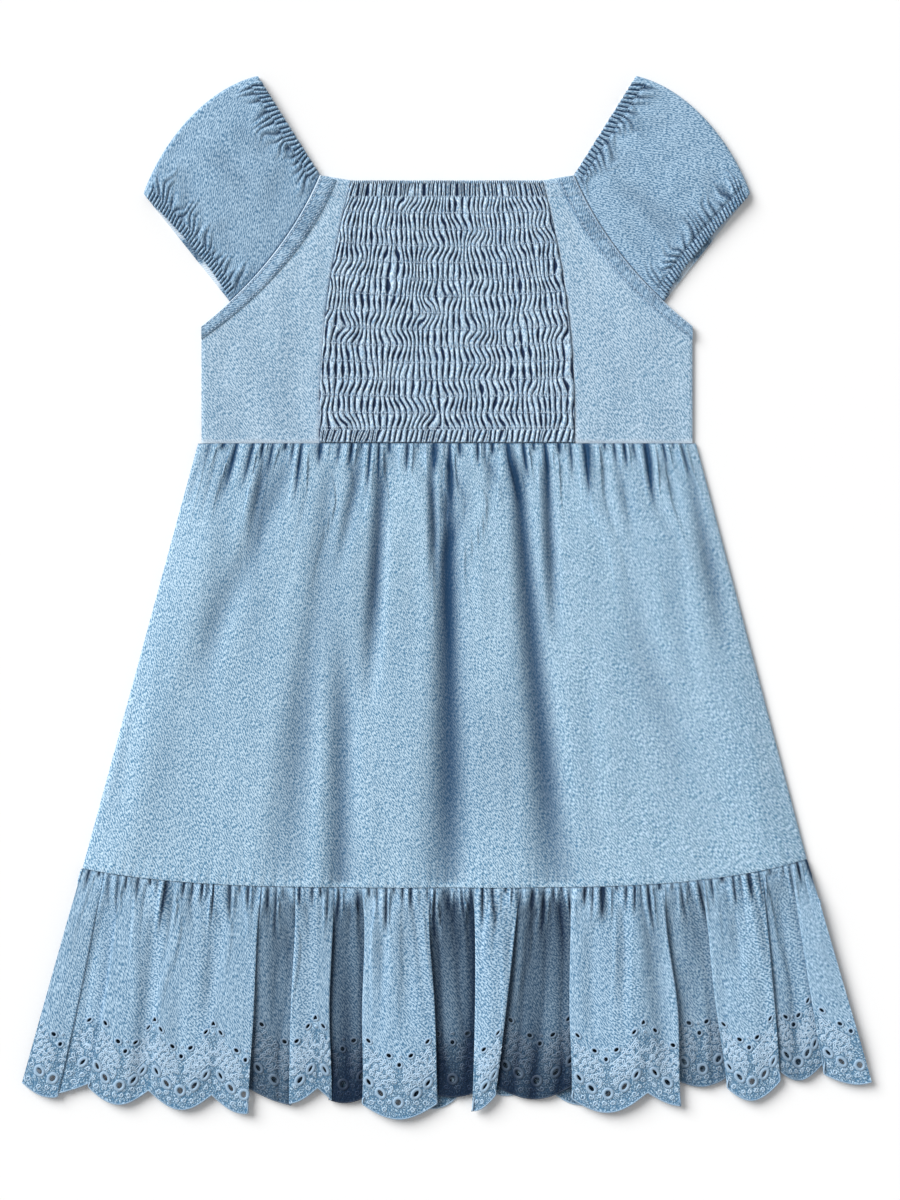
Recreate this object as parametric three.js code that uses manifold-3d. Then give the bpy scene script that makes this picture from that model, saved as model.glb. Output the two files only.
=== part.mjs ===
// A toddler's dress in light denim, lying flat with its front up.
// Millimetres, +Z up, X across the dress and Y towards its neck.
// The back pieces lie on the ground, and the front pieces lie on the back ones.

import * as THREE from 'three';
import { mergeVertices } from 'three/addons/utils/BufferGeometryUtils.js';
import Module from 'manifold-3d';

const { lerp, smoothstep, clamp } = THREE.MathUtils;

// Cloth, and the gap that sewn pieces keep
const CLOTH = 1.2;
const SEAM_GAP = 0.4;
const FRONT_UNDER = CLOTH + SEAM_GAP;
const FRONT_FACE = FRONT_UNDER + CLOTH;

// Gathers: the usual height of one, as a share of the deepest, how far others differ, and how fast
const GATHER_SHARE = 0.65;
const GATHER_SPREAD = 0.35;
const GATHER_TURN = 2.3;

// Bodice: the left armhole seam is one curve, from the neck to the side seam
const SIDE_X = 137.3;
const WAIST_Y = 86;
const NECK_Y = 233;
const ARMHOLE_TOP = new THREE.Vector2(-71.1, 235.8);
const ARMHOLE_BEND = new THREE.Vector2(-91.1, 188.4);
const ARMHOLE_END = new THREE.Vector2(-SIDE_X, 151.5);
const armhole = new THREE.QuadraticBezierCurve(ARMHOLE_TOP, ARMHOLE_BEND, ARMHOLE_END);

// The band's other border, a stitched width further in
const BAND_INNER = new THREE.QuadraticBezierCurve(
  new THREE.Vector2(-61.5, 233),
  new THREE.Vector2(-82.5, 181.5),
  new THREE.Vector2(-SIDE_X, 144),
);
const BAND_THICKNESS = 1;
const BAND_ROWS = 16;

// Shirred centre: its width, its rows of elastic thread and its tucks
const SMOCK_HALF_WIDTH = 71.5;
const SMOCK_NARROWING = 16;
const SMOCK_STRAIGHT_TO = 100;
const SMOCK_NARROWS_OVER = 125;
const SMOCK_COLUMNS = 74;
const SMOCK_ROWS = 14;
const SMOCK_BAND = 7.5;
const SMOCK_CASING = 9;
const SMOCK_RELIEF = 1.5;
const CASING_RELIEF = 0.9;

// Plain side panels, a little crowned
const PANEL_COLUMNS = 5;
const PANEL_ROWS_TO_ARMHOLE = 3;
const PANEL_ROWS_ALONG_ARMHOLE = 8;
const PANEL_CROWN = 0.7;

// Sleeve: the outer fold is one curve from the neck tip to the cuff tip
const SLEEVE_FOLD = new THREE.CubicBezierCurve(
  new THREE.Vector2(-106, 291.4),
  new THREE.Vector2(-134, 285),
  new THREE.Vector2(-159, 256),
  new THREE.Vector2(-169.9, 225.4),
);
const SLEEVE_SEAM_END = 0.82;
const SLEEVE_FOLD_RADIUS = 2.1;
const SLEEVE_FOLD_STEPS = 4;
const SLEEVE_BACK_COLUMNS = 4;
const SLEEVE_FRONT_COLUMNS = 24;
const CUFF_BOW = 3;
const CUFF_BOW_FROM = 0.6;
const CUFF_BOW_SKEW = 0.7;

// Sections from the neck edge to the cuff: how far the front puffs, and how deep its gathers are
const SLEEVE_SECTIONS = [
  { along: 0, puff: 0, gather: 0.7 },
  { along: 0.04, puff: 0.1, gather: 0.9 },
  { along: 0.08, puff: 0, gather: 0.4 },
  { along: 0.14, puff: 0.9, gather: 1.2 },
  { along: 0.23, puff: 1.6, gather: 0.7 },
  { along: 0.38, puff: 2.1, gather: 0 },
  { along: 0.62, puff: 2.1, gather: 0 },
  { along: 0.77, puff: 1.7, gather: 0.6 },
  { along: 0.87, puff: 0.9, gather: 1.2 },
  { along: 0.925, puff: 0, gather: 0.4 },
  { along: 0.965, puff: 0.1, gather: 0.9 },
  { along: 1, puff: 0, gather: 0.7 },
];

// Skirt: straight sides, and a lower seam that rises towards them
const SKIRT_TOP_HALF = 139.2;
const SKIRT_LEFT = -203.8;
const SKIRT_RIGHT = 201.2;
const SEAM_LOW = -162.4;
const SEAM_RISE_LEFT = 10.6;
const SEAM_RISE_RIGHT = 15.7;
const SEAM_CURVE = 3.6;
const SKIRT_COLUMNS = 80;
const SKIRT_SECTIONS = [0, 0.035, 0.09, 0.18, 0.31, 0.47, 0.64, 0.82, 1];
const SKIRT_PUFF = 4.4;
const SKIRT_WAIST_PUFF = 0.25;
const SKIRT_OPENS_OVER = 0.25;
const SKIRT_EDGE = 26;
const WAIST_GATHER = 1.3;
const WAIST_GATHER_FADE = 0.3;

// Valleys between the skirt's folds, which run out over a soft end: where each line meets the
// waist and the hem seam, the stretch of it that shows, the half width at its two ends, and its
// share of the puff
const VALLEY_SOFT_END = 0.06;
const SKIRT_VALLEYS = [
  { waist: -135.5, hem: -218, from: 0, to: 0.16, narrow: 4, wide: 4, depth: 0.5 },
  { waist: -118.7, hem: -179, from: 0, to: 0.13, narrow: 4, wide: 4, depth: 0.6 },
  { waist: -99.7, hem: -149.5, from: 0, to: 0.18, narrow: 4, wide: 4, depth: 0.8 },
  { waist: -91.8, hem: -216.7, from: 0, to: 0.62, narrow: 5, wide: 10, depth: 0.85 },
  { waist: -63.3, hem: -91.8, from: 0, to: 1.2, narrow: 6, wide: 11, depth: 0.5 },
  { waist: -46.5, hem: -96.3, from: 0, to: 0.27, narrow: 4, wide: 5, depth: 0.6 },
  { waist: -34.7, hem: -50.4, from: 0, to: 0.6, narrow: 4.5, wide: 7, depth: 0.9 },
  { waist: -57.7, hem: -59.9, from: 0.5, to: 1.4, narrow: 6, wide: 8, depth: 0.7 },
  { waist: -9, hem: -1, from: 0, to: 0.32, narrow: 4.5, wide: 5, depth: 0.9 },
  { waist: 5, hem: -1.1, from: 0.05, to: 1.4, narrow: 4.5, wide: 10, depth: 1 },
  { waist: 24.1, hem: 27, from: 0, to: 0.12, narrow: 4, wide: 4, depth: 0.5 },
  { waist: 38.1, hem: 58.8, from: 0, to: 1.4, narrow: 4.5, wide: 10, depth: 1 },
  { waist: 54.9, hem: 67.8, from: 0, to: 0.46, narrow: 4.5, wide: 6, depth: 0.9 },
  { waist: 93, hem: 141.7, from: 0, to: 0.2, narrow: 4, wide: 5, depth: 0.5 },
  { waist: 117, hem: 197.7, from: 0, to: 0.14, narrow: 4, wide: 4, depth: 0.6 },
  { waist: 132.7, hem: 181, from: 0, to: 0.5, narrow: 4, wide: 9, depth: 0.6 },
  { waist: 72.8, hem: 151.2, from: 0.3, to: 0.75, narrow: 8, wide: 12, depth: 0.3 },
];

// Hem tier: its lowest line rises towards both sides, and its edge is scalloped
const HEM_LEFT = -237.4;
const HEM_RIGHT = 237.4;
const HEM_LOW = -291.6;
const HEM_RISE_LEFT = 14;
const HEM_RISE_RIGHT = 20.5;
const SCALLOP_DEPTH = 9.5;
const RUFFLE_SECTIONS = [0, 0.06, 0.2, 0.45, 0.74, 1];
const RUFFLE_GATHERS = [0.5, 1.1, 0.8, 0.15, 0, 0];
const RUFFLE_TUCK_PER_LIFT = 0.45;
const RUFFLE_SHOULDER = 0.8;
const RUFFLE_STEP_AT_SEAM = 1.5;
const RUFFLE_OPENS_OVER = 0.4;

// The tier's folds, from left to right, high lobes and the low floors between them:
// where each ends at the seam and at the hem, its height over the flat cloth, how far its hem is
// drawn up, the scallops that it shows, counted along the cloth, and its columns
const RUFFLE_FOLDS = [
  { seamEnd: -191.5, hemEnd: -216.7, lift: 3.2, drawnUp: 0, scallops: [0.1, 0.66], columns: 4 },
  { seamEnd: -182, hemEnd: -201, lift: 1, drawnUp: 1, scallops: [0.7, 1], columns: 2 },
  { seamEnd: -103.6, hemEnd: -110.3, lift: 4.2, drawnUp: 0, scallops: [1.03, 3.6], columns: 18 },
  { seamEnd: -84, hemEnd: -89, lift: 0.6, drawnUp: 6, scallops: [4, 4.45], columns: 4 },
  { seamEnd: -63.3, hemEnd: -63.8, lift: 3.8, drawnUp: 7, scallops: [4.5, 5.25], columns: 4 },
  { seamEnd: -47, hemEnd: -48.2, lift: 0.3, drawnUp: 8.4, scallops: [5.3, 5.8], columns: 4 },
  { seamEnd: -9.5, hemEnd: -4.5, lift: 4.8, drawnUp: 0, scallops: [6.03, 7.15], columns: 8 },
  { seamEnd: 15.1, hemEnd: 13.4, lift: 0, drawnUp: 12.5, scallops: [7.3, 7.75], columns: 4 },
  { seamEnd: 40.3, hemEnd: 28, lift: 4.8, drawnUp: 4.7, scallops: [8.45, 9], columns: 4 },
  { seamEnd: 69.4, hemEnd: 68.9, lift: 0.4, drawnUp: 10.5, scallops: [9, 9.95], columns: 6 },
  { seamEnd: 121.5, hemEnd: 131.6, lift: 4.8, drawnUp: 1, scallops: [9.95, 11.45], columns: 12 },
  { seamEnd: 141.7, hemEnd: 155.7, lift: 0.3, drawnUp: 10.8, scallops: [12.15, 12.75], columns: 4 },
  { seamEnd: 175.3, hemEnd: 187, lift: 4, drawnUp: 0, scallops: [12.8, 13.7], columns: 8 },
  { seamEnd: 192, hemEnd: 210, lift: 0.8, drawnUp: 7.6, scallops: [14, 14.9], columns: 4 },
  { seamEnd: SKIRT_RIGHT, hemEnd: HEM_RIGHT, lift: 3.2, drawnUp: 0, scallops: [14.9, 15.58], columns: 4 },
];

// Soft creases in the broad lobes: where each meets the seam and the hem, and how far down it shows
const CREASE_SOFT_END = 0.25;
const RUFFLE_CREASES = [
  { seam: -160, hem: -174, to: 1.2, width: 6, depth: 0.5 },
  { seam: -130, hem: -135, to: 0.7, width: 5, depth: 0.5 },
  { seam: 79, hem: 83, to: 0.8, width: 5, depth: 0.35 },
  { seam: 111, hem: 124, to: 1, width: 6, depth: 0.5 },
  { seam: 160, hem: 168, to: 0.5, width: 5, depth: 0.5 },
];

// Cut eyelets of one scallop: scallops to the side of its tip, height over the tip, and half sizes
const EYELETS = [
  { aside: 0, above: 9.8, halfWidth: 2, halfHeight: 2.4 },
  { aside: -0.219, above: 14, halfWidth: 2.3, halfHeight: 2.1 },
  { aside: 0.219, above: 14, halfWidth: 2.3, halfHeight: 2.1 },
  { aside: -0.379, above: 19.6, halfWidth: 2.3, halfHeight: 2.1 },
  { aside: 0.379, above: 19.6, halfWidth: 2.3, halfHeight: 2.1 },
];
const EYELET_SIDES = 6;
const EYELET_MARGIN = 3.4;
const EYELET_CUT = 3.5;

// Back tier: flat, a little shorter than the front, but for two scallops that hang lower
const BACK_SCALLOPS = 11;
const BACK_DRAWN_UP = 12.5;
const BACK_POINTS_PER_SCALLOP = 8;
const BACK_FIRST_SCALLOP = 0.2;
const BACK_LOW_SCALLOPS = [
  { middle: -10, drop: 7 },
  { middle: 76.7, drop: 7 },
];
const BACK_LOW_HALF_WIDTH = 21;
const SEAM_STEPS = 20;

const DENIM = { roughness: 0.9, metalness: 0 };
const COLOURS = {
  smocked: 0x8099ae,
  plain: 0xa2bdd3,
  skirt: 0x88a8c1,
  tier: 0x7b99b1,
};

const wasm = await Module();
wasm.setup();

// The rim of a grid, once round, with the cloth on its left seen from outside
function rimOf(rows, columns) {
  const rim = [];
  for (let row = 0; row < rows; row++) rim.push([row, 0]);
  for (let column = 0; column < columns; column++) rim.push([rows, column]);
  for (let row = rows; row > 0; row--) rim.push([row, columns]);
  for (let column = columns; column > 0; column--) rim.push([0, column]);
  return rim;
}

// A closed wall between an outer and an inner grid of points.
// Seen from outside, the rows run down and the columns run to the right.
// A plain inside is flat, so its faces run straight from its left side to its right one.
function wall(outer, inner, { plainInside = false, otherDiagonal = () => false } = {}) {
  const rows = outer.length - 1;
  const columns = outer[0].length - 1;
  const out = ([row, column]) => outer[row][column];
  const back = ([row, column]) => inner[row][column];
  const corners = [];
  const face = (...points) => {
    for (let last = 2; last < points.length; last++) corners.push(points[0], points[last - 1], points[last]);
  };
  for (let row = 0; row < rows; row++) {
    for (let column = 0; column < columns; column++) {
      const places = [[row, column], [row + 1, column], [row + 1, column + 1], [row, column + 1]];
      if (otherDiagonal(row, column)) places.push(places.shift());
      face(...places.map(out));
      if (!plainInside) face(...places.reverse().map(back));
    }
    if (plainInside) face(...plainStrip(inner, row));
  }
  rimOf(rows, columns).forEach((place, number, rim) => {
    const next = rim[(number + 1) % rim.length];
    face(out(next), out(place), back(place), back(next));
  });
  return new THREE.BufferGeometry().setFromPoints(corners);
}

// One row of a plain inside, which takes in every point of the first or the last row
function plainStrip(inner, row) {
  const upper = inner[row];
  const lower = inner[row + 1];
  if (row === 0) return [lower[0], ...upper, lower.at(-1)];
  const lowest = row === inner.length - 2 ? lower : [lower[0], lower.at(-1)];
  return [upper[0], upper.at(-1), ...lowest.toReversed()];
}

// The inner points of a row: the outer ones moved in by the cloth, square to the row's section.
// The axis runs along the cloth, and no inner point goes below the floor.
function innerRow(row, axis, floor = -Infinity) {
  const normalOf = (from, to) => to.clone().sub(from).cross(axis).normalize();
  return row.map((point, place) => {
    const first = normalOf(row[Math.max(place - 1, 0)], row[Math.max(place, 1)]);
    const last = normalOf(row[Math.min(place, row.length - 2)], row[Math.min(place + 1, row.length - 1)]);
    const mitre = CLOTH / (1 + first.dot(last));
    const moved = point.clone().addScaledVector(first.add(last), -mitre);
    moved.z = Math.max(moved.z, floor);
    return moved;
  });
}

// The same grid on the other side of the dress, still seen from outside
function mirrored(grid) {
  const flip = new THREE.Vector3(-1, 1, 1);
  return grid.map((row) => row.map((point) => point.clone().multiply(flip)).reverse());
}

// Every other column of a row of gathers is raised, some more than others
function gatherShare(column) {
  return (column % 2) * (GATHER_SHARE + GATHER_SPREAD * Math.sin(GATHER_TURN * column));
}

// A flat piece of cloth on the ground, with its outline and its cut holes
function flatPiece(outline, holes = []) {
  const shape = new THREE.Shape(outline);
  shape.holes = holes.map((hole) => new THREE.Path(hole));
  return new THREE.ExtrudeGeometry(shape, { depth: CLOTH, bevelEnabled: false });
}

function piece(name, geometry, colour) {
  const material = new THREE.MeshStandardMaterial({ color: colour, ...DENIM });
  const mesh = new THREE.Mesh(geometry, material);
  mesh.name = name;
  return mesh;
}

function smockHalfWidth(y) {
  const above = Math.max(0, y - SMOCK_STRAIGHT_TO) / SMOCK_NARROWS_OVER;
  return SMOCK_HALF_WIDTH - SMOCK_NARROWING * above ** 2;
}

// Shirred centre: puffs stand between the rows of elastic thread, over a plain inside
function frontCentre() {
  const bandTop = WAIST_Y + SMOCK_BAND;
  const casingBottom = NECK_Y - SMOCK_CASING;
  const heights = [NECK_Y, NECK_Y - SMOCK_CASING / 2, casingBottom];
  for (let row = 1; row <= SMOCK_ROWS; row++) heights.push(lerp(casingBottom, bandTop, row / SMOCK_ROWS));
  heights.push(WAIST_Y);
  const last = heights.length - 1;
  const relief = (row, column) => {
    const onEdge = row === 0 || row === last || column === 0 || column === SMOCK_COLUMNS;
    if (onEdge) return 0;
    if (row === 1) return CASING_RELIEF * (column % 2);
    return SMOCK_RELIEF * ((row + column) % 2);
  };
  const grid = (heightAt) => heights.map((y, row) => {
    const half = smockHalfWidth(y) - SEAM_GAP / 2;
    const points = [];
    for (let column = 0; column <= SMOCK_COLUMNS; column++) {
      const x = lerp(-half, half, column / SMOCK_COLUMNS);
      points.push(new THREE.Vector3(x, y, heightAt(row, column)));
    }
    return points;
  });
  const outer = grid((row, column) => FRONT_FACE + relief(row, column));
  const inner = grid(() => FRONT_UNDER);
  return wall(outer, inner, { plainInside: true, otherDiagonal: (row, column) => (row + column) % 2 === 0 });
}

// Where the armhole seam lies at a height, from the curve's own quadratic
function armholeX(y) {
  if (y <= ARMHOLE_END.y) return -SIDE_X;
  const a = ARMHOLE_TOP.y - 2 * ARMHOLE_BEND.y + ARMHOLE_END.y;
  const b = 2 * (ARMHOLE_BEND.y - ARMHOLE_TOP.y);
  const c = ARMHOLE_TOP.y - y;
  const along = (-b - Math.sqrt(b * b - 4 * a * c)) / (2 * a);
  return armhole.getPoint(clamp(along, 0, 1)).x;
}

function sidePanelFace(x, y) {
  const across = (x - armholeX(y)) / (-smockHalfWidth(y) - armholeX(y));
  const up = (y - WAIST_Y) / (NECK_Y - WAIST_Y);
  const crown = Math.sin(Math.PI * clamp(across, 0, 1)) * Math.sin(Math.PI * clamp(up, 0, 1));
  return FRONT_FACE + PANEL_CROWN * crown ** 2;
}

function sidePanelGrids() {
  const heights = [];
  for (let row = 0; row < PANEL_ROWS_ALONG_ARMHOLE; row++) {
    heights.push(lerp(ARMHOLE_TOP.y, ARMHOLE_END.y, row / PANEL_ROWS_ALONG_ARMHOLE));
  }
  for (let row = 0; row <= PANEL_ROWS_TO_ARMHOLE; row++) {
    heights.push(lerp(ARMHOLE_END.y, WAIST_Y, row / PANEL_ROWS_TO_ARMHOLE));
  }
  const neckDip = (ARMHOLE_TOP.y - NECK_Y) / (ARMHOLE_TOP.y - WAIST_Y);
  const outer = heights.map((y) => {
    const innerY = y - neckDip * (y - WAIST_Y);
    const right = -smockHalfWidth(innerY) - SEAM_GAP / 2;
    const points = [];
    for (let column = 0; column <= PANEL_COLUMNS; column++) {
      const across = column / PANEL_COLUMNS;
      const pointX = lerp(armholeX(y), right, across);
      const pointY = lerp(y, innerY, across);
      points.push(new THREE.Vector3(pointX, pointY, sidePanelFace(pointX, pointY)));
    }
    return points;
  });
  const inner = outer.map((row) => row.map((point) => new THREE.Vector3(point.x, point.y, FRONT_UNDER)));
  return [outer, inner];
}

// The band lies on the side panel along its armhole, so its points are the panel's, moved out
function bandGrids() {
  const rows = [];
  for (let row = 0; row <= BAND_ROWS; row++) {
    const seam = armhole.getPoint(row / BAND_ROWS);
    const border = BAND_INNER.getPoint(row / BAND_ROWS);
    rows.push([seam, seam.clone().lerp(border, 0.5), border]);
  }
  const grid = (out) => rows.map((row) => row.map(({ x, y }) => {
    return new THREE.Vector3(x, y, sidePanelFace(x, y) + out);
  }));
  return [grid(SEAM_GAP + BAND_THICKNESS), grid(SEAM_GAP)];
}

// Sleeve: every section runs from the back armhole, under to the fold and over to the front armhole
function sleeveGrids() {
  const outer = [];
  const inner = [];
  for (const { along, puff, gather } of SLEEVE_SECTIONS) {
    const seam = armhole.getPoint(SLEEVE_SEAM_END * along);
    const fold = SLEEVE_FOLD.getPoint(along);
    const outward = fold.clone().sub(seam).normalize();
    seam.addScaledVector(outward, SEAM_GAP);
    const length = fold.distanceTo(seam);
    const straight = length - SLEEVE_FOLD_RADIUS;
    const towardsNeck = new THREE.Vector2(outward.y, -outward.x);
    const cuffBow = CUFF_BOW * smoothstep(along, CUFF_BOW_FROM, 1);
    const place = (distance, z) => {
      const share = clamp(distance / length, 0, 1);
      const bow = cuffBow * Math.sin(Math.PI * share ** CUFF_BOW_SKEW);
      const flat = seam.clone().addScaledVector(outward, distance).addScaledVector(towardsNeck, bow);
      return new THREE.Vector3(flat.x, flat.y, z);
    };
    const row = [];
    for (let column = 0; column < SLEEVE_BACK_COLUMNS; column++) {
      row.push(place(straight * column / SLEEVE_BACK_COLUMNS, 0));
    }
    for (let step = 0; step < SLEEVE_FOLD_STEPS; step++) {
      const turn = Math.PI * (step / SLEEVE_FOLD_STEPS - 0.5);
      const distance = straight + SLEEVE_FOLD_RADIUS * Math.cos(turn);
      row.push(place(distance, SLEEVE_FOLD_RADIUS * (1 + Math.sin(turn))));
    }
    for (let column = 0; column <= SLEEVE_FRONT_COLUMNS; column++) {
      const share = column / SLEEVE_FRONT_COLUMNS;
      const rest = lerp(2 * SLEEVE_FOLD_RADIUS, FRONT_FACE, smoothstep(share, 0, 1));
      const ridge = gather * gatherShare(column);
      row.push(place(straight * (1 - share), rest + puff * Math.sin(Math.PI * share) + ridge));
    }
    outer.push(row);
    inner.push(innerRow(row, new THREE.Vector3(towardsNeck.x, towardsNeck.y, 0)));
  }
  return [outer, inner];
}

function skirtSeamY(x) {
  if (x < 0) return SEAM_LOW + SEAM_RISE_LEFT * (x / SKIRT_LEFT) ** SEAM_CURVE;
  return SEAM_LOW + SEAM_RISE_RIGHT * (x / SKIRT_RIGHT) ** SEAM_CURVE;
}

// The skirt's left and right edges at a share of the way from the waist to the hem seam
function skirtEdges(down) {
  return [lerp(-SKIRT_TOP_HALF, SKIRT_LEFT, down), lerp(SKIRT_TOP_HALF, SKIRT_RIGHT, down)];
}

// How far the skirt's face stands over the flat cloth: puffed, with valleys between its folds
function skirtLift(x, down) {
  const [left, right] = skirtEdges(down);
  const toEdge = Math.min(x - left, right - x);
  const round = Math.sin(Math.PI / 2 * clamp(toEdge / SKIRT_EDGE, 0, 1));
  const opened = lerp(SKIRT_WAIST_PUFF, 1, smoothstep(down, 0, SKIRT_OPENS_OVER));
  let sunk = 0;
  for (const { waist, hem, from, to, narrow, wide, depth } of SKIRT_VALLEYS) {
    const middle = (from + to) / 2;
    const begun = smoothstep(down, from - VALLEY_SOFT_END, Math.min(from + VALLEY_SOFT_END, middle));
    const shows = begun * (1 - smoothstep(down, middle, to + VALLEY_SOFT_END));
    const aside = (x - lerp(waist, hem, down)) / lerp(narrow, wide, clamp(down, 0, 1));
    sunk += depth * shows * Math.exp(-(aside ** 2));
  }
  return SKIRT_PUFF * round * opened * (1 - Math.min(sunk, 1));
}

function skirtFront() {
  const axis = new THREE.Vector3(0, 1, 0);
  const outer = SKIRT_SECTIONS.map((down) => {
    const [left, right] = skirtEdges(down);
    const points = [];
    for (let column = 0; column <= SKIRT_COLUMNS; column++) {
      const across = column / SKIRT_COLUMNS;
      const x = lerp(left, right, across);
      const lowest = skirtSeamY(lerp(SKIRT_LEFT, SKIRT_RIGHT, across)) + SEAM_GAP;
      const y = lerp(WAIST_Y - SEAM_GAP, lowest, down);
      const share = gatherShare(column);
      const gather = WAIST_GATHER * share * (1 - smoothstep(down, 0, WAIST_GATHER_FADE * share));
      points.push(new THREE.Vector3(x, y, FRONT_FACE + skirtLift(x, down) + gather));
    }
    return points;
  });
  const inner = outer.map((row) => innerRow(row, axis, FRONT_UNDER));
  return wall(outer, inner);
}

function hemLow(x) {
  return x < 0
    ? HEM_LOW + HEM_RISE_LEFT * (x / HEM_LEFT) ** 2
    : HEM_LOW + HEM_RISE_RIGHT * (x / HEM_RIGHT) ** 2;
}

function scallopRise(scallops) {
  return SCALLOP_DEPTH * (1 - Math.abs(Math.sin(Math.PI * scallops)));
}

// Each fold with its start, which is the end of the fold before it
function ruffleFolds() {
  let seamStart = SKIRT_LEFT;
  let hemStart = HEM_LEFT;
  return RUFFLE_FOLDS.map((fold, number) => {
    const isFloor = number % 2 === 1;
    const beside = isFloor ? [RUFFLE_FOLDS[number - 1], RUFFLE_FOLDS[number + 1]] : [];
    const tucks = beside.map(({ lift }) => RUFFLE_TUCK_PER_LIFT * (RUFFLE_SHOULDER * lift - fold.lift));
    const whole = { ...fold, seamStart, hemStart, isFloor, tucks };
    seamStart = fold.seamEnd;
    hemStart = fold.hemEnd;
    return whole;
  });
}

function creased(x, down) {
  let sunk = 0;
  for (const { seam, hem, to, width, depth } of RUFFLE_CREASES) {
    const aside = (x - lerp(seam, hem, down)) / width;
    sunk += depth * Math.exp(-(aside ** 2)) * (1 - smoothstep(down, to - CREASE_SOFT_END, to));
  }
  return sunk;
}

// A point on the tier's face. A floor reaches in under the lobes on both its sides.
function rufflePoint(fold, across, down) {
  const opened = smoothstep(down, 0, RUFFLE_OPENS_OVER);
  const [insetStart, insetEnd] = fold.isFloor
    ? fold.tucks.map((tuck) => lerp(RUFFLE_STEP_AT_SEAM, -tuck, opened))
    : [0, 0];
  const start = lerp(fold.seamStart, fold.hemStart, down) + insetStart;
  const end = lerp(fold.seamEnd, fold.hemEnd, down) - insetEnd;
  const x = lerp(start, end, across);
  const seamX = lerp(fold.seamStart, fold.seamEnd, across);
  const hemX = lerp(fold.hemStart, fold.hemEnd, across);
  const scallops = lerp(fold.scallops[0], fold.scallops[1], across);
  const hemY = hemLow(hemX) + fold.drawnUp + scallopRise(scallops);
  const y = lerp(skirtSeamY(seamX), hemY, down);
  const crown = lerp(RUFFLE_SHOULDER, 1, fold.isFloor ? 1 : Math.sin(Math.PI * across));
  const lift = lerp(skirtLift(seamX, 1), fold.lift * crown * (1 - creased(x, down)), opened);
  return new THREE.Vector3(x, y, FRONT_FACE + lift);
}

function ruffleWall() {
  const axis = new THREE.Vector3(0, 1, 0);
  const folds = ruffleFolds();
  const outer = RUFFLE_SECTIONS.map((down, section) => {
    return folds.flatMap((fold) => {
      const points = [];
      for (let column = 0; column <= fold.columns; column++) {
        const point = rufflePoint(fold, column / fold.columns, down);
        point.z += RUFFLE_GATHERS[section] * gatherShare(column);
        points.push(point);
      }
      return points;
    });
  });
  const inner = outer.map((row) => innerRow(row, axis, FRONT_UNDER));
  return wall(outer, inner);
}

function eyeletOutline({ halfWidth, halfHeight }, x, y) {
  const outline = [];
  for (let side = 0; side < EYELET_SIDES; side++) {
    const turn = 2 * Math.PI * side / EYELET_SIDES;
    outline.push(new THREE.Vector2(x + halfWidth * Math.cos(turn), y + halfHeight * Math.sin(turn)));
  }
  return outline;
}

// Where an eyelet lies on the front tier, or nothing where a fold's edge hides or crosses it
function placeOnFold(folds, scallops, above) {
  const fold = folds.find(({ scallops: [first, last] }) => scallops > first && scallops < last);
  if (!fold) return null;
  const across = (scallops - fold.scallops[0]) / (fold.scallops[1] - fold.scallops[0]);
  const hem = rufflePoint(fold, across, 1);
  const seam = rufflePoint(fold, across, 0);
  const target = hem.y - scallopRise(scallops) + above;
  const place = rufflePoint(fold, across, (seam.y - target) / (seam.y - hem.y));
  const toEdge = Math.min(place.x - rufflePoint(fold, 0, 1).x, rufflePoint(fold, 1, 1).x - place.x);
  const covered = fold.isFloor ? Math.max(...fold.tucks) : 0;
  return toEdge > EYELET_MARGIN + covered ? place : null;
}

function eyeletPrisms() {
  const folds = ruffleFolds();
  const lastScallop = RUFFLE_FOLDS.at(-1).scallops[1];
  const prisms = [];
  for (let tip = 0.5; tip < lastScallop; tip++) {
    for (const eyelet of EYELETS) {
      const place = placeOnFold(folds, tip + eyelet.aside, eyelet.above);
      if (!place) continue;
      const shape = new THREE.Shape(eyeletOutline(eyelet, place.x, place.y));
      const prism = new THREE.ExtrudeGeometry(shape, { depth: 2 * EYELET_CUT, bevelEnabled: false });
      prisms.push(prism.translate(0, 0, Math.max(place.z - CLOTH / 2 - EYELET_CUT, CLOTH)));
    }
  }
  return prisms;
}

function toSolid(geometry) {
  const bare = geometry.clone();
  bare.deleteAttribute('normal');
  bare.deleteAttribute('uv');
  const merged = mergeVertices(bare);
  const vertProperties = new Float32Array(merged.attributes.position.array);
  const triVerts = new Uint32Array(merged.index.array);
  return new wasm.Manifold(new wasm.Mesh({ numProp: 3, vertProperties, triVerts }));
}

function fromSolid(solid) {
  const { numProp, vertProperties, triVerts } = solid.getMesh();
  const positions = [];
  for (let start = 0; start < vertProperties.length; start += numProp) {
    positions.push(...vertProperties.subarray(start, start + 3));
  }
  const geometry = new THREE.BufferGeometry();
  geometry.setAttribute('position', new THREE.Float32BufferAttribute(positions, 3));
  geometry.setIndex([...triVerts]);
  return geometry;
}

function ruffleFront() {
  let solid = toSolid(ruffleWall());
  for (const prism of eyeletPrisms()) solid = solid.subtract(toSolid(prism));
  return fromSolid(solid);
}

// Back tier: the hem at a count of scallops, and the eyelets above each tip
function backHem(scallops) {
  const x = lerp(HEM_LEFT, HEM_RIGHT, (scallops - BACK_FIRST_SCALLOP) / BACK_SCALLOPS);
  let low = hemLow(x) + BACK_DRAWN_UP;
  for (const { middle, drop } of BACK_LOW_SCALLOPS) {
    low -= drop * Math.exp(-(((x - middle) / BACK_LOW_HALF_WIDTH) ** 4));
  }
  return { x, low };
}

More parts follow.
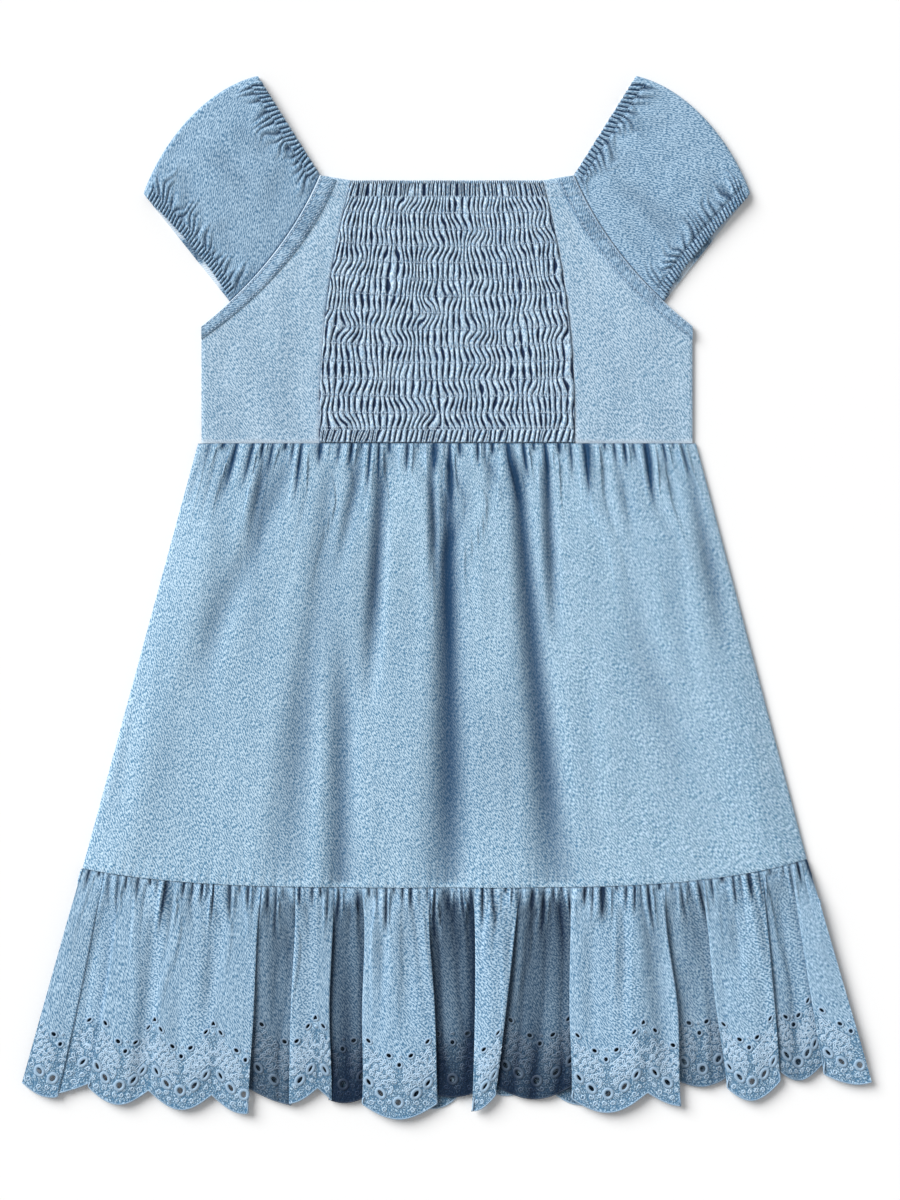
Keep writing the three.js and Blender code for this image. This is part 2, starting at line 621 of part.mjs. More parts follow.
function ruffleBack() {
  const outline = [];
  for (let step = 0; step <= SEAM_STEPS; step++) {
    const x = lerp(SKIRT_RIGHT, SKIRT_LEFT, step / SEAM_STEPS);
    outline.push(new THREE.Vector2(x, skirtSeamY(x)));
  }
  const hemSteps = BACK_SCALLOPS * BACK_POINTS_PER_SCALLOP;
  for (let step = 0; step <= hemSteps; step++) {
    const scallops = BACK_FIRST_SCALLOP + step / BACK_POINTS_PER_SCALLOP;
    const { x, low } = backHem(scallops);
    outline.push(new THREE.Vector2(x, low + scallopRise(scallops)));
  }
  const holes = [];
  for (let tip = 0.5; tip < BACK_FIRST_SCALLOP + BACK_SCALLOPS; tip++) {
    const { low } = backHem(tip);
    for (const eyelet of EYELETS) {
      const { x } = backHem(tip + eyelet.aside);
      if (HEM_RIGHT - Math.abs(x) < 2 * SCALLOP_DEPTH) continue;
      holes.push(eyeletOutline(eyelet, x, low + eyelet.above));
    }
  }
  return flatPiece(outline, holes);
}

function skirtBack() {
  const top = WAIST_Y - SEAM_GAP;
  const outline = [new THREE.Vector2(SKIRT_TOP_HALF, top), new THREE.Vector2(-SKIRT_TOP_HALF, top)];
  for (let step = 0; step <= SEAM_STEPS; step++) {
    const x = lerp(SKIRT_LEFT, SKIRT_RIGHT, step / SEAM_STEPS);
    outline.push(new THREE.Vector2(x, skirtSeamY(x) + SEAM_GAP));
  }
  return flatPiece(outline);
}

function backBodice() {
  const left = armhole.getPoints(BAND_ROWS);
  const right = left.map(({ x, y }) => new THREE.Vector2(-x, y)).reverse();
  const waist = [new THREE.Vector2(-SIDE_X, WAIST_Y), new THREE.Vector2(SIDE_X, WAIST_Y)];
  const neckHalf = smockHalfWidth(NECK_Y);
  const neck = [new THREE.Vector2(neckHalf, NECK_Y), new THREE.Vector2(-neckHalf, NECK_Y)];
  return flatPiece([...left, ...waist, ...right, ...neck]);
}

const dress = new THREE.Group();
dress.add(piece('front_centre_smocked', frontCentre(), COLOURS.smocked));

for (const [side, place] of [['left', (grid) => grid], ['right', mirrored]]) {
  const sidePanel = wall(...sidePanelGrids().map(place));
  dress.add(piece(`front_side_${side}`, sidePanel, COLOURS.plain));
  dress.add(piece(`armhole_band_${side}`, wall(...bandGrids().map(place)), COLOURS.plain));
  dress.add(piece(`sleeve_${side}`, wall(...sleeveGrids().map(place)), COLOURS.plain));
}

dress.add(piece('back_bodice', backBodice(), COLOURS.plain));
dress.add(piece('skirt_front', skirtFront(), COLOURS.skirt));
dress.add(piece('skirt_back', skirtBack(), COLOURS.skirt));
dress.add(piece('ruffle_front', ruffleFront(), COLOURS.tier));
dress.add(piece('ruffle_back', ruffleBack(), COLOURS.tier));

export default dress;
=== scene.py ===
# %% [markdown]
# # A toddler's dress in light denim, laid flat
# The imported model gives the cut, the sizes and the main folds of the dress. This lesson makes the
# cloth that shows: a thin shell for every panel, with its gathers, creases, stitching, eyelets and
# weave. Every shell repeats its panel's own shape and adds what is too fine for a rigid solid.

# %% Load the frame
import bpy
import numpy as np
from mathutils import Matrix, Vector


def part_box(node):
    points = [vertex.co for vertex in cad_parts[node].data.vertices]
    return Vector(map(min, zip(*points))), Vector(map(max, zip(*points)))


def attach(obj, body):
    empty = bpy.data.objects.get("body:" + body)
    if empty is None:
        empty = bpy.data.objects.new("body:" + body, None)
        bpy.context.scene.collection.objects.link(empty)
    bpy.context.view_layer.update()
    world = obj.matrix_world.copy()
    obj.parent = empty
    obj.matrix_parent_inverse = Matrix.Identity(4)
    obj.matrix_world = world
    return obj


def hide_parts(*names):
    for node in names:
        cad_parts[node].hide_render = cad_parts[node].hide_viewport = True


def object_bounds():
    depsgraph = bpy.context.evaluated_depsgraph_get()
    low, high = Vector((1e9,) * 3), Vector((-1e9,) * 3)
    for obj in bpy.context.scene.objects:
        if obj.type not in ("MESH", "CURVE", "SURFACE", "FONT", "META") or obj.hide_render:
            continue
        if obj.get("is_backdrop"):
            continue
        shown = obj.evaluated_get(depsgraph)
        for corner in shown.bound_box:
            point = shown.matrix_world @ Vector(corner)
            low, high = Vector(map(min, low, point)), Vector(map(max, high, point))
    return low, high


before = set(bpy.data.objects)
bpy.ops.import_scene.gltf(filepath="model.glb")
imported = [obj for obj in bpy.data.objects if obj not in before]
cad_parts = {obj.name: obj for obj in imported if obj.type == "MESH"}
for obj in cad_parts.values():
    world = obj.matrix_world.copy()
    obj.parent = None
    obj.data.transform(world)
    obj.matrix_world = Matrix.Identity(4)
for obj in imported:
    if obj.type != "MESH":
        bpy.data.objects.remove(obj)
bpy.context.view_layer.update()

# %% [markdown]
# ## Camera, light and floor
# A catalogue shot of clothes laid flat is taken from straight above, so the camera looks down and
# its long side lies along the dress. A long lens keeps the folds from leaning. The light is one
# soft lamp, high on the left, and a pale room, which draws each fold with one soft dark side.

# %% The camera, straight above
MM = 0.001
PIXEL = 0.56 * MM
PHOTO_HEIGHT = 1200
VIEW_MIDDLE = Vector((1.7 * MM, -1.7 * MM, 0))
LENS = 100
SENSOR = 36

camera = bpy.data.objects.new("camera", bpy.data.cameras.new("camera"))
camera.data.lens = LENS
camera.data.sensor_width = SENSOR
camera_height = PHOTO_HEIGHT * PIXEL * LENS / SENSOR
camera.location = VIEW_MIDDLE + Vector((0, 0, camera_height))
bpy.context.scene.collection.objects.link(camera)
bpy.context.scene.camera = camera
print("The camera is", round(camera_height, 3), "m above the dress")

# %% The lamp and the pale room
LAMP_FROM = Vector((-0.62, 0.5, 0.6))
LAMP_STRENGTH = 3.7
LAMP_SOFTNESS = 0.7
ROOM_STRENGTH = 0.42

lamp = bpy.data.objects.new("lamp", bpy.data.lights.new("lamp", "SUN"))
lamp.data.energy = LAMP_STRENGTH
lamp.data.angle = LAMP_SOFTNESS
lamp.rotation_euler = LAMP_FROM.to_track_quat("Z", "Y").to_euler()
bpy.context.scene.collection.objects.link(lamp)

room = bpy.data.worlds.new("room")
room.use_nodes = True
room.node_tree.nodes["Background"].inputs["Color"].default_value = (1, 1, 1, 1)
room.node_tree.nodes["Background"].inputs["Strength"].default_value = ROOM_STRENGTH
bpy.context.scene.world = room
bpy.context.scene.view_settings.view_transform = "Standard"
print("One lamp, and a room of strength", ROOM_STRENGTH)

# %% [markdown]
# ## Shader maths as sums
# A finish is worked out from fields: a wave for the twill, noise for the wash, a hollow for each
# fold. Node by node that is hard to read. A small class wraps a socket so that sums in Python add
# the Math nodes, and one method makes any other node from its settings and its inputs.

# %% Sockets that can be added and multiplied
class Field:
    """A node's output, which Python's sums turn into Math nodes."""

    def __init__(self, finish, socket):
        self.finish = finish
        self.socket = socket

    def sum(self, operation, first, second=0.0):
        return self.finish.node("ShaderNodeMath", {"operation": operation}, {0: first, 1: second})

    def __add__(self, other):
        return self.sum("ADD", self, other)

    def __sub__(self, other):
        return self.sum("SUBTRACT", self, other)

    def __rsub__(self, other):
        return self.sum("SUBTRACT", other, self)

    def __mul__(self, other):
        return self.sum("MULTIPLY", self, other)

    def __truediv__(self, other):
        return self.sum("DIVIDE", self, other)

    def sine(self):
        return self.sum("SINE", self)

    def kept_in(self, low, high):
        return self.sum("MINIMUM", self.sum("MAXIMUM", self, low), high)

    __radd__ = __add__
    __rmul__ = __mul__


class Finish:
    """A material in the making."""

    def __init__(self, name):
        self.material = bpy.data.materials.new(name)
        self.material.use_nodes = True
        self.tree = self.material.node_tree
        self.shader = self.tree.nodes["Principled BSDF"]

    def node(self, kind, settings=None, sockets=None, output=0):
        made = self.tree.nodes.new(kind)
        for name, value in (settings or {}).items():
            setattr(made, name, value)
        for name, value in (sockets or {}).items():
            self.feed(made.inputs[name], value)
        return Field(self, made.outputs[output])

    def feed(self, socket, value):
        if isinstance(value, Field):
            self.tree.links.new(value.socket, socket)
        else:
            socket.default_value = value

    def mixed(self, share, first, second):
        sockets = {0: share, 6: first, 7: second}
        return self.node("ShaderNodeMix", {"data_type": "RGBA"}, sockets, output=2)

    def pair(self, x, y):
        return self.node("ShaderNodeCombineXYZ", {}, {0: x, 1: y})

    def noise(self, place, size, detail=2.0):
        sockets = {"Vector": place, "Scale": 1 / size, "Detail": detail}
        return self.node("ShaderNodeTexNoise", {}, sockets)


print("Fields and finishes are ready")

# %% [markdown]
# ## Denim
# Denim is a twill: white weft shows between blue warp along steep diagonal lines. This one is
# washed until it is pale, so the blue is left in flecks and in soft clouds. The folds are painted
# darker, which is painted shade together with the blue that a fold keeps in the wash, and crests and
# edges are painted paler, which is painted highlight together with wear. Every shell carries fields
# of its own points for this: `cloth`, the place on the flat cut, so the weave follows the cloth into
# its gathers, `hollow`, from 1 where the painted shade of a fold is deepest through 0 to -1 where it
# is painted palest, on crests and edges, and `lace`, which is 1 where the ground is covered with
# embroidery.

# %% A colour as a paint chart gives it, in the renderer's linear light
def colour(red, green, blue):
    """A shade named as on a screen, from 0 to 255, in linear light."""
    shares = np.array([red, green, blue]) / 255
    linear = np.where(shares <= 0.04045, shares / 12.92, ((shares + 0.055) / 1.055) ** 2.4)
    return (*linear.tolist(), 1.0)


# %% The denim finish
TWILL_PITCH = 1.25 * MM
TWILL_ACROSS = (0.84, 0.545)
FLECK_SIZE = 0.56 * MM
FLECK_STRETCH = 0.34
SLUB_SIZE = 1.3 * MM
SLUB_STRETCH = 0.16
CLOUD_SIZE = 9 * MM
WASH_SIZE = 24 * MM
WASH_STRETCH = 0.3
LACE_CELL = 1.5 * MM
LACE_SWIRL = 1.8 * MM
WEAVE_HEIGHT = 0.2 * MM


def field_named(finish, name, output=2):
    return finish.node("ShaderNodeAttribute", {"attribute_name": name}, output=output)


def lace_threads(finish, place):
    """The dark gaps between threads that wind close together, as in a dense filling stitch."""
    swirl = finish.node("ShaderNodeTexNoise", {}, {"Vector": place, "Scale": 1 / (2.2 * MM)}, output=1)
    centred = finish.node("ShaderNodeVectorMath", {"operation": "SUBTRACT"}, {0: swirl, 1: (0.5, 0.5, 0.5)})
    moved = finish.node("ShaderNodeVectorMath", {"operation": "SCALE"}, {0: centred, 3: LACE_SWIRL})
    wound = finish.node("ShaderNodeVectorMath", {"operation": "ADD"}, {0: place, 1: moved})
    cells = {"Vector": wound, "Scale": 1 / LACE_CELL}
    edge = finish.node("ShaderNodeTexVoronoi", {"feature": "DISTANCE_TO_EDGE"}, cells)
    return 1 - (edge * 5).kept_in(0, 1)


def denim(name, pale, blue, deep, highlight_and_wear):
    """Washed denim: blue in its flecks, with painted shade deep in its folds and a painted highlight on its
    crests and edges, together with fold dye and wear.
    """
    finish = Finish(name)
    pale, blue, deep, highlight_and_wear = (colour(*shade) for shade in (pale, blue, deep, highlight_and_wear))
    place = field_named(finish, "cloth", output=1)
    hollow = field_named(finish, "hollow")
    lace = field_named(finish, "lace")
    axes = finish.tree.nodes.new("ShaderNodeSeparateXYZ")
    finish.feed(axes.inputs[0], place)
    x, y = (Field(finish, axes.outputs[number]) for number in (0, 1))

    across = x * TWILL_ACROSS[0] + y * TWILL_ACROSS[1]
    along = y * TWILL_ACROSS[0] - x * TWILL_ACROSS[1]
    cloud = finish.noise(place, CLOUD_SIZE)
    twill = (across * (2 * np.pi / TWILL_PITCH) + cloud * 9).sine()
    fleck = finish.noise(finish.pair(across, along * FLECK_STRETCH), FLECK_SIZE, 3.0)
    slub = finish.noise(finish.pair(across, along * SLUB_STRETCH), SLUB_SIZE)
    wash = finish.noise(finish.pair(x, y * WASH_STRETCH), WASH_SIZE)

    tone = 0.5 + (fleck - 0.5) * 6.2 + (slub - 0.5) * 1.0 + twill * 0.26
    tone = tone + (cloud - 0.5) * 0.2 + (wash - 0.5) * 0.4
    stitched = lace_threads(finish, place)
    tone = tone + (0.64 - stitched * 0.85 + (fleck - 0.5) * 4 - tone) * lace
    faded = finish.mixed(tone.kept_in(0, 1), blue, pale)
    # Painted shade: the colour goes towards deep where hollow is high, in folds and slits, with some fold
    # dye.
    folded = finish.mixed((hollow * (1.2 - fleck * 0.4)).kept_in(0, 1), faded, deep)
    # Painted highlight: the colour goes towards the pale highlight colour where hollow is below 0, on crests
    # and edges, with some wear.
    lit_and_worn = finish.mixed((hollow * -1).kept_in(0, 1), folded, highlight_and_wear)
    finish.feed(finish.shader.inputs["Base Color"], lit_and_worn)
    weave = {"Height": twill * 0.3 + fleck - stitched * lace * 2, "Distance": WEAVE_HEIGHT, "Strength": 0.8}
    finish.feed(finish.shader.inputs["Normal"], finish.node("ShaderNodeBump", {}, weave))
    finish.shader.inputs["Roughness"].default_value = 0.92
    finish.shader.inputs["Sheen Weight"].default_value = 0.1
    finish.shader.inputs["Specular IOR Level"].default_value = 0.2
    print("Finish", name)
    return finish.material


# %% The finishes of the dress
# The third colour of each denim is the painted shade of its folds, with fold dye, and the fourth is its
# painted highlight with wear; BRIGHT is the shirred centre's painted highlight.
HIGHLIGHT_AND_WEAR = (222, 236, 248)
BRIGHT = (244, 251, 255)

bodice_denim = denim("bodice denim", (194, 217, 235), (100, 140, 170), (28, 58, 90), HIGHLIGHT_AND_WEAR)
sleeve_denim = denim("sleeve denim", (176, 204, 226), (82, 123, 156), (20, 50, 82), HIGHLIGHT_AND_WEAR)
shirred_denim = denim("shirred denim", (222, 240, 252), (126, 164, 196), (6, 34, 70), BRIGHT)
skirt_denim = denim("skirt denim", (193, 219, 237), (86, 132, 165), (26, 62, 96), HIGHLIGHT_AND_WEAR)
eyelet_denim = denim("eyelet denim", (184, 212, 233), (82, 126, 160), (8, 34, 60), HIGHLIGHT_AND_WEAR)

# %% The thread finish
THREAD_PLY = 0.5 * MM


def thread(name, pale, shade, deep):
    """Sewing or embroidery thread, twisted, with a little shine, and with painted shade where it lies in a
    fold.
    """
    finish = Finish(name)
    pale, shade, deep = (colour(*named) for named in (pale, shade, deep))
    place = finish.node("ShaderNodeTexCoord", {}, {}, output=3)
    hollow = field_named(finish, "hollow")
    ply = finish.noise(place, THREAD_PLY)
    # Painted shade: the thread goes towards deep where the cloth under it is hollow.
    folded = finish.mixed(hollow.kept_in(0, 1), finish.mixed(ply, shade, pale), deep)
    finish.feed(finish.shader.inputs["Base Color"], folded)
    bumps = {"Height": ply, "Distance": 0.1 * MM, "Strength": 0.5}
    finish.feed(finish.shader.inputs["Normal"], finish.node("ShaderNodeBump", {}, bumps))
    finish.shader.inputs["Roughness"].default_value = 0.62
    print("Finish", name)
    return finish.material


# The third colour of each thread is its painted shade in a fold.
pale_thread = thread("pale thread", (228, 241, 252), (152, 187, 219), (50, 78, 112))
blue_thread = thread("blue thread", (186, 210, 230), (100, 138, 170), (10, 36, 62))
lace_thread = thread("lace thread", (214, 233, 247), (142, 178, 208), (14, 42, 72))

# %% [markdown]
# ## The floor
# The dress lies on a plain pale surface. It is stage, not part of the dress.

# %% The floor
FLOOR_HALF = 3.0
FLOOR_DROP = 0.3 * MM

floor_finish = Finish("pale floor")
floor_cloud = floor_finish.noise(floor_finish.node("ShaderNodeTexCoord", {}, {}, output=3), 0.5)
floor_shades = ((0.88, 0.88, 0.88, 1), (0.9, 0.9, 0.9, 1))
floor_finish.feed(floor_finish.shader.inputs["Base Color"], floor_finish.mixed(floor_cloud, *floor_shades))
floor_finish.shader.inputs["Roughness"].default_value = 0.9
floor_mesh = bpy.data.meshes.new("floor")
floor_corners = [(-1, -1), (1, -1), (1, 1), (-1, 1)]
floor_points = [(FLOOR_HALF * x, FLOOR_HALF * y, -FLOOR_DROP) for x, y in floor_corners]
floor_mesh.from_pydata(floor_points, [], [(0, 1, 2, 3)])
floor_mesh.materials.append(floor_finish.material)
floor = bpy.data.objects.new("floor", floor_mesh)
bpy.context.scene.collection.objects.link(floor)
floor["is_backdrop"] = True
print("The floor is", 2 * FLOOR_HALF, "m wide")

# %% [markdown]
# ## How a panel is made
# Cloth has two faces and a cut edge, so a panel could be a plane with a Solidify modifier. Here it
# is a grid of points for the face and one for the wrong side, joined round the rim and round each
# hole, because the eyelets need a clean edge and every point needs its two fields. The panels are
# drafted in millimetres, as a paper pattern is, and turned into metres in one place.

# %% Small helpers for shapes
LATTICE = 64


def blend(first, second, share):
    return first + (second - first) * share


def smooth_step(value, low, high):
    share = np.clip((value - low) / (high - low), 0, 1)
    return share * share * (3 - 2 * share)


def drift(seed, across, down, cell_across, cell_down):
    """A smooth random field from -1 to 1, whose spots are about a cell wide."""
    lattice = np.random.default_rng(seed).uniform(-1, 1, (LATTICE, LATTICE))
    column = np.asarray(across) / cell_across
    row = np.asarray(down) / cell_down
    left = np.floor(column).astype(int)
    top = np.floor(row).astype(int)
    to_right = smooth_step(column - left, 0, 1)
    at = lambda i, j: lattice[i % LATTICE, j % LATTICE]
    upper = blend(at(top, left), at(top, left + 1), to_right)
    lower = blend(at(top + 1, left), at(top + 1, left + 1), to_right)
    return blend(upper, lower, smooth_step(row - top, 0, 1))


def ridges(count, sharpness=0.7):
    """Rounded ridges with narrow valleys, one to each whole number."""
    return np.abs(np.sin(np.pi * count)) ** sharpness


def rolled(distance, radius):
    """How far an edge turns down, from 0 inside the radius to 1 on the edge."""
    inside = 1 - np.clip(distance / radius, 0, 1)
    return 1 - np.sqrt(1 - inside**2)


def near(distance, width):
    """1 on a line, and less on both sides of it, softly, over a width."""
    return np.exp(-((distance / width) ** 2))


def trough(x, y, start, end, width):
    """A soft crease between two places: 1 along its middle, and 0 beside it and past its ends."""
    run = np.array(end) - np.array(start)
    length = np.hypot(*run)
    along = ((x - start[0]) * run[0] + (y - start[1]) * run[1]) / length**2
    aside = ((x - start[0]) * run[1] - (y - start[1]) * run[0]) / length
    shows = smooth_step(along, -0.2, 0.25) * (1 - smooth_step(along, 0.7, 1.2))
    return shows * near(aside, width)


print("Helpers for shapes are ready")

# %% A shell from two grids of points
def normals_of(points):
    """The outward directions of a grid whose rows run down and whose columns run right."""
    down = np.gradient(points, axis=0)
    right = np.gradient(points, axis=1)
    normal = np.cross(down, right)
    return normal / np.maximum(np.linalg.norm(normal, axis=2, keepdims=True), 1e-9)


def wrong_side(face, thickness, lowest):
    """The other side of the cloth, which stays above what it lies on."""
    under = face - normals_of(face) * thickness
    under[..., 2] = np.maximum(under[..., 2], lowest)
    return under


def rim_walls(kept, index, count):
    """The cut edge: a wall along each border between cloth and no cloth."""
    padded = np.pad(kept, 1)
    above, below = padded[:-1, 1:-1], padded[1:, 1:-1]
    before, after = padded[1:-1, :-1], padded[1:-1, 1:]
    left, right = index[:, :-1], index[:, 1:]
    upper, lower = index[:-1], index[1:]
    walls = []
    for first, second, border in (
        (left, right, below & ~above),
        (right, left, above & ~below),
        (lower, upper, after & ~before),
        (upper, lower, before & ~after),
    ):
        start, end = first[border], second[border]
        walls.append(np.stack([start, end, end + count, start + count], -1))
    return np.concatenate(walls)


def make_mesh(name, points, faces, finish, fields=None):
    """A piece from points in millimetres, with its fields and its finish."""
    mesh = bpy.data.meshes.new(name)
    mesh.from_pydata((points * MM).tolist(), [], faces)
    for field, values in (fields or {}).items():
        kind, slot = ("FLOAT", "value") if values.ndim == 1 else ("FLOAT_VECTOR", "vector")
        attribute = mesh.attributes.new(field, kind, "POINT")
        attribute.data.foreach_set(slot, values.astype(np.float32).ravel())
    mesh.materials.append(finish)
    mesh.shade_smooth()
    piece = bpy.data.objects.new(name, mesh)
    bpy.context.scene.collection.objects.link(piece)
    mesh.calc_loop_triangles()
    print(f"{name}: {len(mesh.loop_triangles)} triangles")
    return piece


CREASE_ANGLE = np.radians(62)


def shell(name, face, under, finish, hollow, cloth, kept=None, plain_under=False, lace=None, wrong=None):
    """A panel of cloth between its two grids. A plain underside is one flat face."""
    rows, columns = face.shape[:2]
    count = rows * columns
    kept = np.ones((rows - 1, columns - 1), bool) if kept is None else kept
    index = np.arange(count).reshape(rows, columns)
    corners = np.stack([index[:-1, :-1], index[1:, :-1], index[1:, 1:], index[:-1, 1:]], -1)[kept]
    sides = [corners, rim_walls(kept, index, count)]
    rim = np.concatenate([index[0, :-1], index[:-1, -1], index[-1, :0:-1], index[:0:-1, 0]])
    if not plain_under:
        sides.append(corners[:, ::-1] + count)
    faces = np.concatenate(sides)
    used, renumbered = np.unique(faces, return_inverse=True)
    faces = renumbered.reshape(faces.shape).tolist()
    if plain_under:
        faces.append(np.searchsorted(used, rim + count).tolist())
    points = np.concatenate([face.reshape(-1, 3), under.reshape(-1, 3)])[used]
    flat = np.concatenate([cloth, np.zeros((rows, columns, 1))], -1).reshape(-1, 3) * MM
    wrong = hollow if wrong is None else wrong
    fields = {
        "hollow": np.clip(np.concatenate([hollow.reshape(-1), wrong.reshape(-1)]), -1, 1)[used],
        "cloth": np.tile(flat, (2, 1))[used],
    }
    if lace is not None:
        fields["lace"] = np.tile(lace.reshape(-1), 2)[used]
    panel = make_mesh(name, points, faces, finish, fields)
    panel.data.set_sharp_from_angle(angle=CREASE_ANGLE)
    return panel


print("Panels can be made")

# %% [markdown]
# ## Stitches and threads
# A row of stitches is many short lengths of thread, each pulled into the cloth at its ends. One
# object for each would be thousands, so a row is one mesh: a small spindle for every stitch. A
# satin stitch or a cord is a tube, flat below, that follows a line on the cloth.

# %% Rows of stitches
STITCH_SINK = 0.35


def along_line(points, spacing):
    """Even places on a line: how far along each lies, and how long the line is."""
    steps = np.linalg.norm(np.diff(points, axis=0), axis=1)
    lengths = np.concatenate([[0], np.cumsum(steps)])
    places = np.arange(spacing / 2, lengths[-1] - spacing / 2, spacing)
    return places, lengths


def on_line(points, lengths, places):
    return np.stack([np.interp(places, lengths, points[:, axis]) for axis in range(3)], -1)


def stitch_rows(name, lines, finish, stitch=2.0, gap=0.6, width=0.45, height=0.4):
    """Stitches along lines on the cloth, as one mesh."""
    starts, ends = [], []
    for line in lines:
        places, lengths = along_line(line, stitch + gap)
        starts.append(on_line(line, lengths, places - stitch / 2))
        ends.append(on_line(line, lengths, places + stitch / 2))
    start, end = np.concatenate(starts), np.concatenate(ends)
    run = end - start
    up = np.array([0, 0, 1.0])
    side = np.cross(run, up)
    side *= width / 2 / np.linalg.norm(side, axis=1, keepdims=True)
    rise = up * height
    sink = up * STITCH_SINK * height
    points = []
    for tip, share in ((start, 0.22), (end, 0.78)):
        middle = start + run * share
        points += [tip - sink, middle + side, middle + rise, middle - side, middle - sink]
    points = np.stack(points, 1)
    first = np.arange(len(start))[:, None] * points.shape[1]
    quads, tips = [], []
    for corner in range(4):
        after = (corner + 1) % 4
        quads.append([1 + corner, 6 + corner, 6 + after, 1 + after])
        tips += [[0, 1 + corner, 1 + after], [5, 6 + after, 6 + corner]]
    faces = []
    for face in quads + tips:
        faces += (first + np.array(face)).tolist()
    return make_mesh(name, points.reshape(-1, 3), faces, finish)


# %% Tubes that lie on the cloth
ROUND_SECTION = [(-1, -0.25), (-0.7, 0.7), (0, 1), (0.7, 0.7), (1, -0.25)]
RIDGE_SECTION = [(-1, -0.3), (0, 1), (1, -0.3)]


def tube(laid, half_width, height, closed=False, ripple=0.12, section=ROUND_SECTION):
    """A low tube along a line on the cloth: its points, its faces and how hollow its place is."""
    points, normals, hollow = laid
    count = len(points)
    if closed:
        run = np.roll(points, -1, 0) - np.roll(points, 1, 0)
    else:
        run = np.gradient(points, axis=0)
    side = np.cross(run, normals)
    side /= np.maximum(np.linalg.norm(side, axis=1, keepdims=True), 1e-9)
    swell = (1 + ripple * (np.arange(count) % 2))[:, None]
    rings = [points + side * across * half_width * swell + normals * up * height * swell
             for across, up in section]
    corners = len(section)
    faces = []
    for ring in range(count if closed else count - 1):
        here, there = ring * corners, (ring + 1) % count * corners
        for corner in range(corners):
            after = (corner + 1) % corners
            faces.append([here + corner, there + corner, there + after, here + after])
    if not closed:
        faces.append(list(range(corners)))
        faces.append(list(range(count * corners - 1, (count - 1) * corners - 1, -1)))
    return np.stack(rings, 1).reshape(-1, 3), faces, np.repeat(hollow, corners)


def join_tubes(name, tubes, finish):
    """Many tubes as one mesh."""
    points, faces, hollows, count = [], [], [], 0
    for tube_points, tube_faces, hollow in tubes:
        points.append(tube_points)
        hollows.append(hollow)
        faces += [[count + corner for corner in face] for face in tube_faces]
        count += len(tube_points)
    # hollow carries the painted shade of the cloth under each tube.
    fields = {"hollow": np.clip(np.concatenate(hollows), 0, 1)}
    return make_mesh(name, np.concatenate(points), faces, finish, fields)


print("Stitches and tubes can be made")

# %% [markdown]
# ## The cut of the dress
# The bodice, the armholes, the sleeves and the skirt meet on lines that both neighbours share.
# Those lines are written once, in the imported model's own sizes, so the shells fit the solids and
# each other. The heights and widths that the frame can give are read from it.

# %% Lines that the panels share
CLOTH = 1.0
SEAM_GAP = 0.15
FRONT_UNDER = 1.6
FRONT_FACE = 2.8

smock_low, smock_high = (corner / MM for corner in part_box("front_centre_smocked"))
WAIST_Y, NECK_Y = smock_low.y, smock_high.y
SIDES = {-1: "left", 1: "right"}
SIDE_X = 137.3
ARMHOLE = [(-71.1, 235.8), (-91.1, 188.4), (-SIDE_X, 151.5)]
BAND_INNER = [(-61.5, 233), (-82.5, 181.5), (-SIDE_X, 144)]
SLEEVE_FOLD = [(-106, 291.4), (-134, 285), (-159, 256), (-169.9, 225.4)]
SMOCK_HALF_WIDTH = 71.5
SMOCK_NARROWING = 16
SMOCK_STRAIGHT_TO = 100
SMOCK_NARROWS_OVER = 125


def curve(points, along):
    """A place on a curve of two, three or four control points."""
    points = [np.array(point, float) for point in points]
    share = np.asarray(along, float)[..., None]
    while len(points) > 1:
        points = [blend(first, second, share) for first, second in zip(points, points[1:])]
    return points[0]


def mirrored(side, *grids):
    """Grids drawn for the left, turned over where they serve the right."""
    if side < 0:
        return grids
    return [(grid * [-1, 1, 1] if grid.ndim == 3 else grid)[:, ::-1] for grid in grids]


def smock_half_width(y):
    above = np.maximum(0, y - SMOCK_STRAIGHT_TO) / SMOCK_NARROWS_OVER
    return SMOCK_HALF_WIDTH - SMOCK_NARROWING * above**2


print(f"The bodice runs from {WAIST_Y:.1f} to {NECK_Y:.1f} mm")

# %% [markdown]
# ## The shirred centre
# Fourteen rows of elastic thread pull the centre front in. Between two rows the cloth stands up in
# small upright puffs, no two alike, with deep slits between them, painted dark as shade. On a row
# it is pinched into finer gathers, and the painted highlight and wear on its crests break off. It
# could be simulated, but rows of known spacing are quicker to write: a field of ridges that lean
# one way between two rows and another way between the next two, and that swell and sink at random,
# over a plain inside.

# %% The relief of the shirring
SMOCK_CASING = 9.0
SMOCK_BAND = 7.5
SMOCK_ROWS = 14
TUCKS = 45
CASING_RIBS = 42
BAND_RIBS = 46
SMOCK_RELIEF = 2.2
ROW_BOW = 3.2
CASING_BOTTOM = NECK_Y - SMOCK_CASING
BAND_TOP = WAIST_Y + SMOCK_BAND
ROW_PITCH = (CASING_BOTTOM - BAND_TOP) / SMOCK_ROWS
ROW_APART = 37


def narrow_valley(count, width):
    """A groove at every whole number, as a share of the spacing wide."""
    return near(count - np.round(count), width)


def row_bow(across, y):
    """How much higher a row lies at a place than in the middle, which its sides draw up."""
    up = np.clip((y - BAND_TOP) / (CASING_BOTTOM - BAND_TOP), 0, 1)
    return ROW_BOW * (2 * across - 1) ** 2 * np.sin(np.pi * up**1.4) ** 0.8


def shirred_ribs(ribs, seed, x, y):
    """The upright ribs of a casing, some of them split, from 0 in a slit to 1."""
    count = ribs + 0.4 * drift(seed, x, y, 4, 14)
    split = smooth_step(drift(seed + 1, x, y, 5, 30), -0.2, 0.3)
    return ridges(count, 1.0) * (1 - 0.6 * split * narrow_valley(count - 0.5, 0.12))


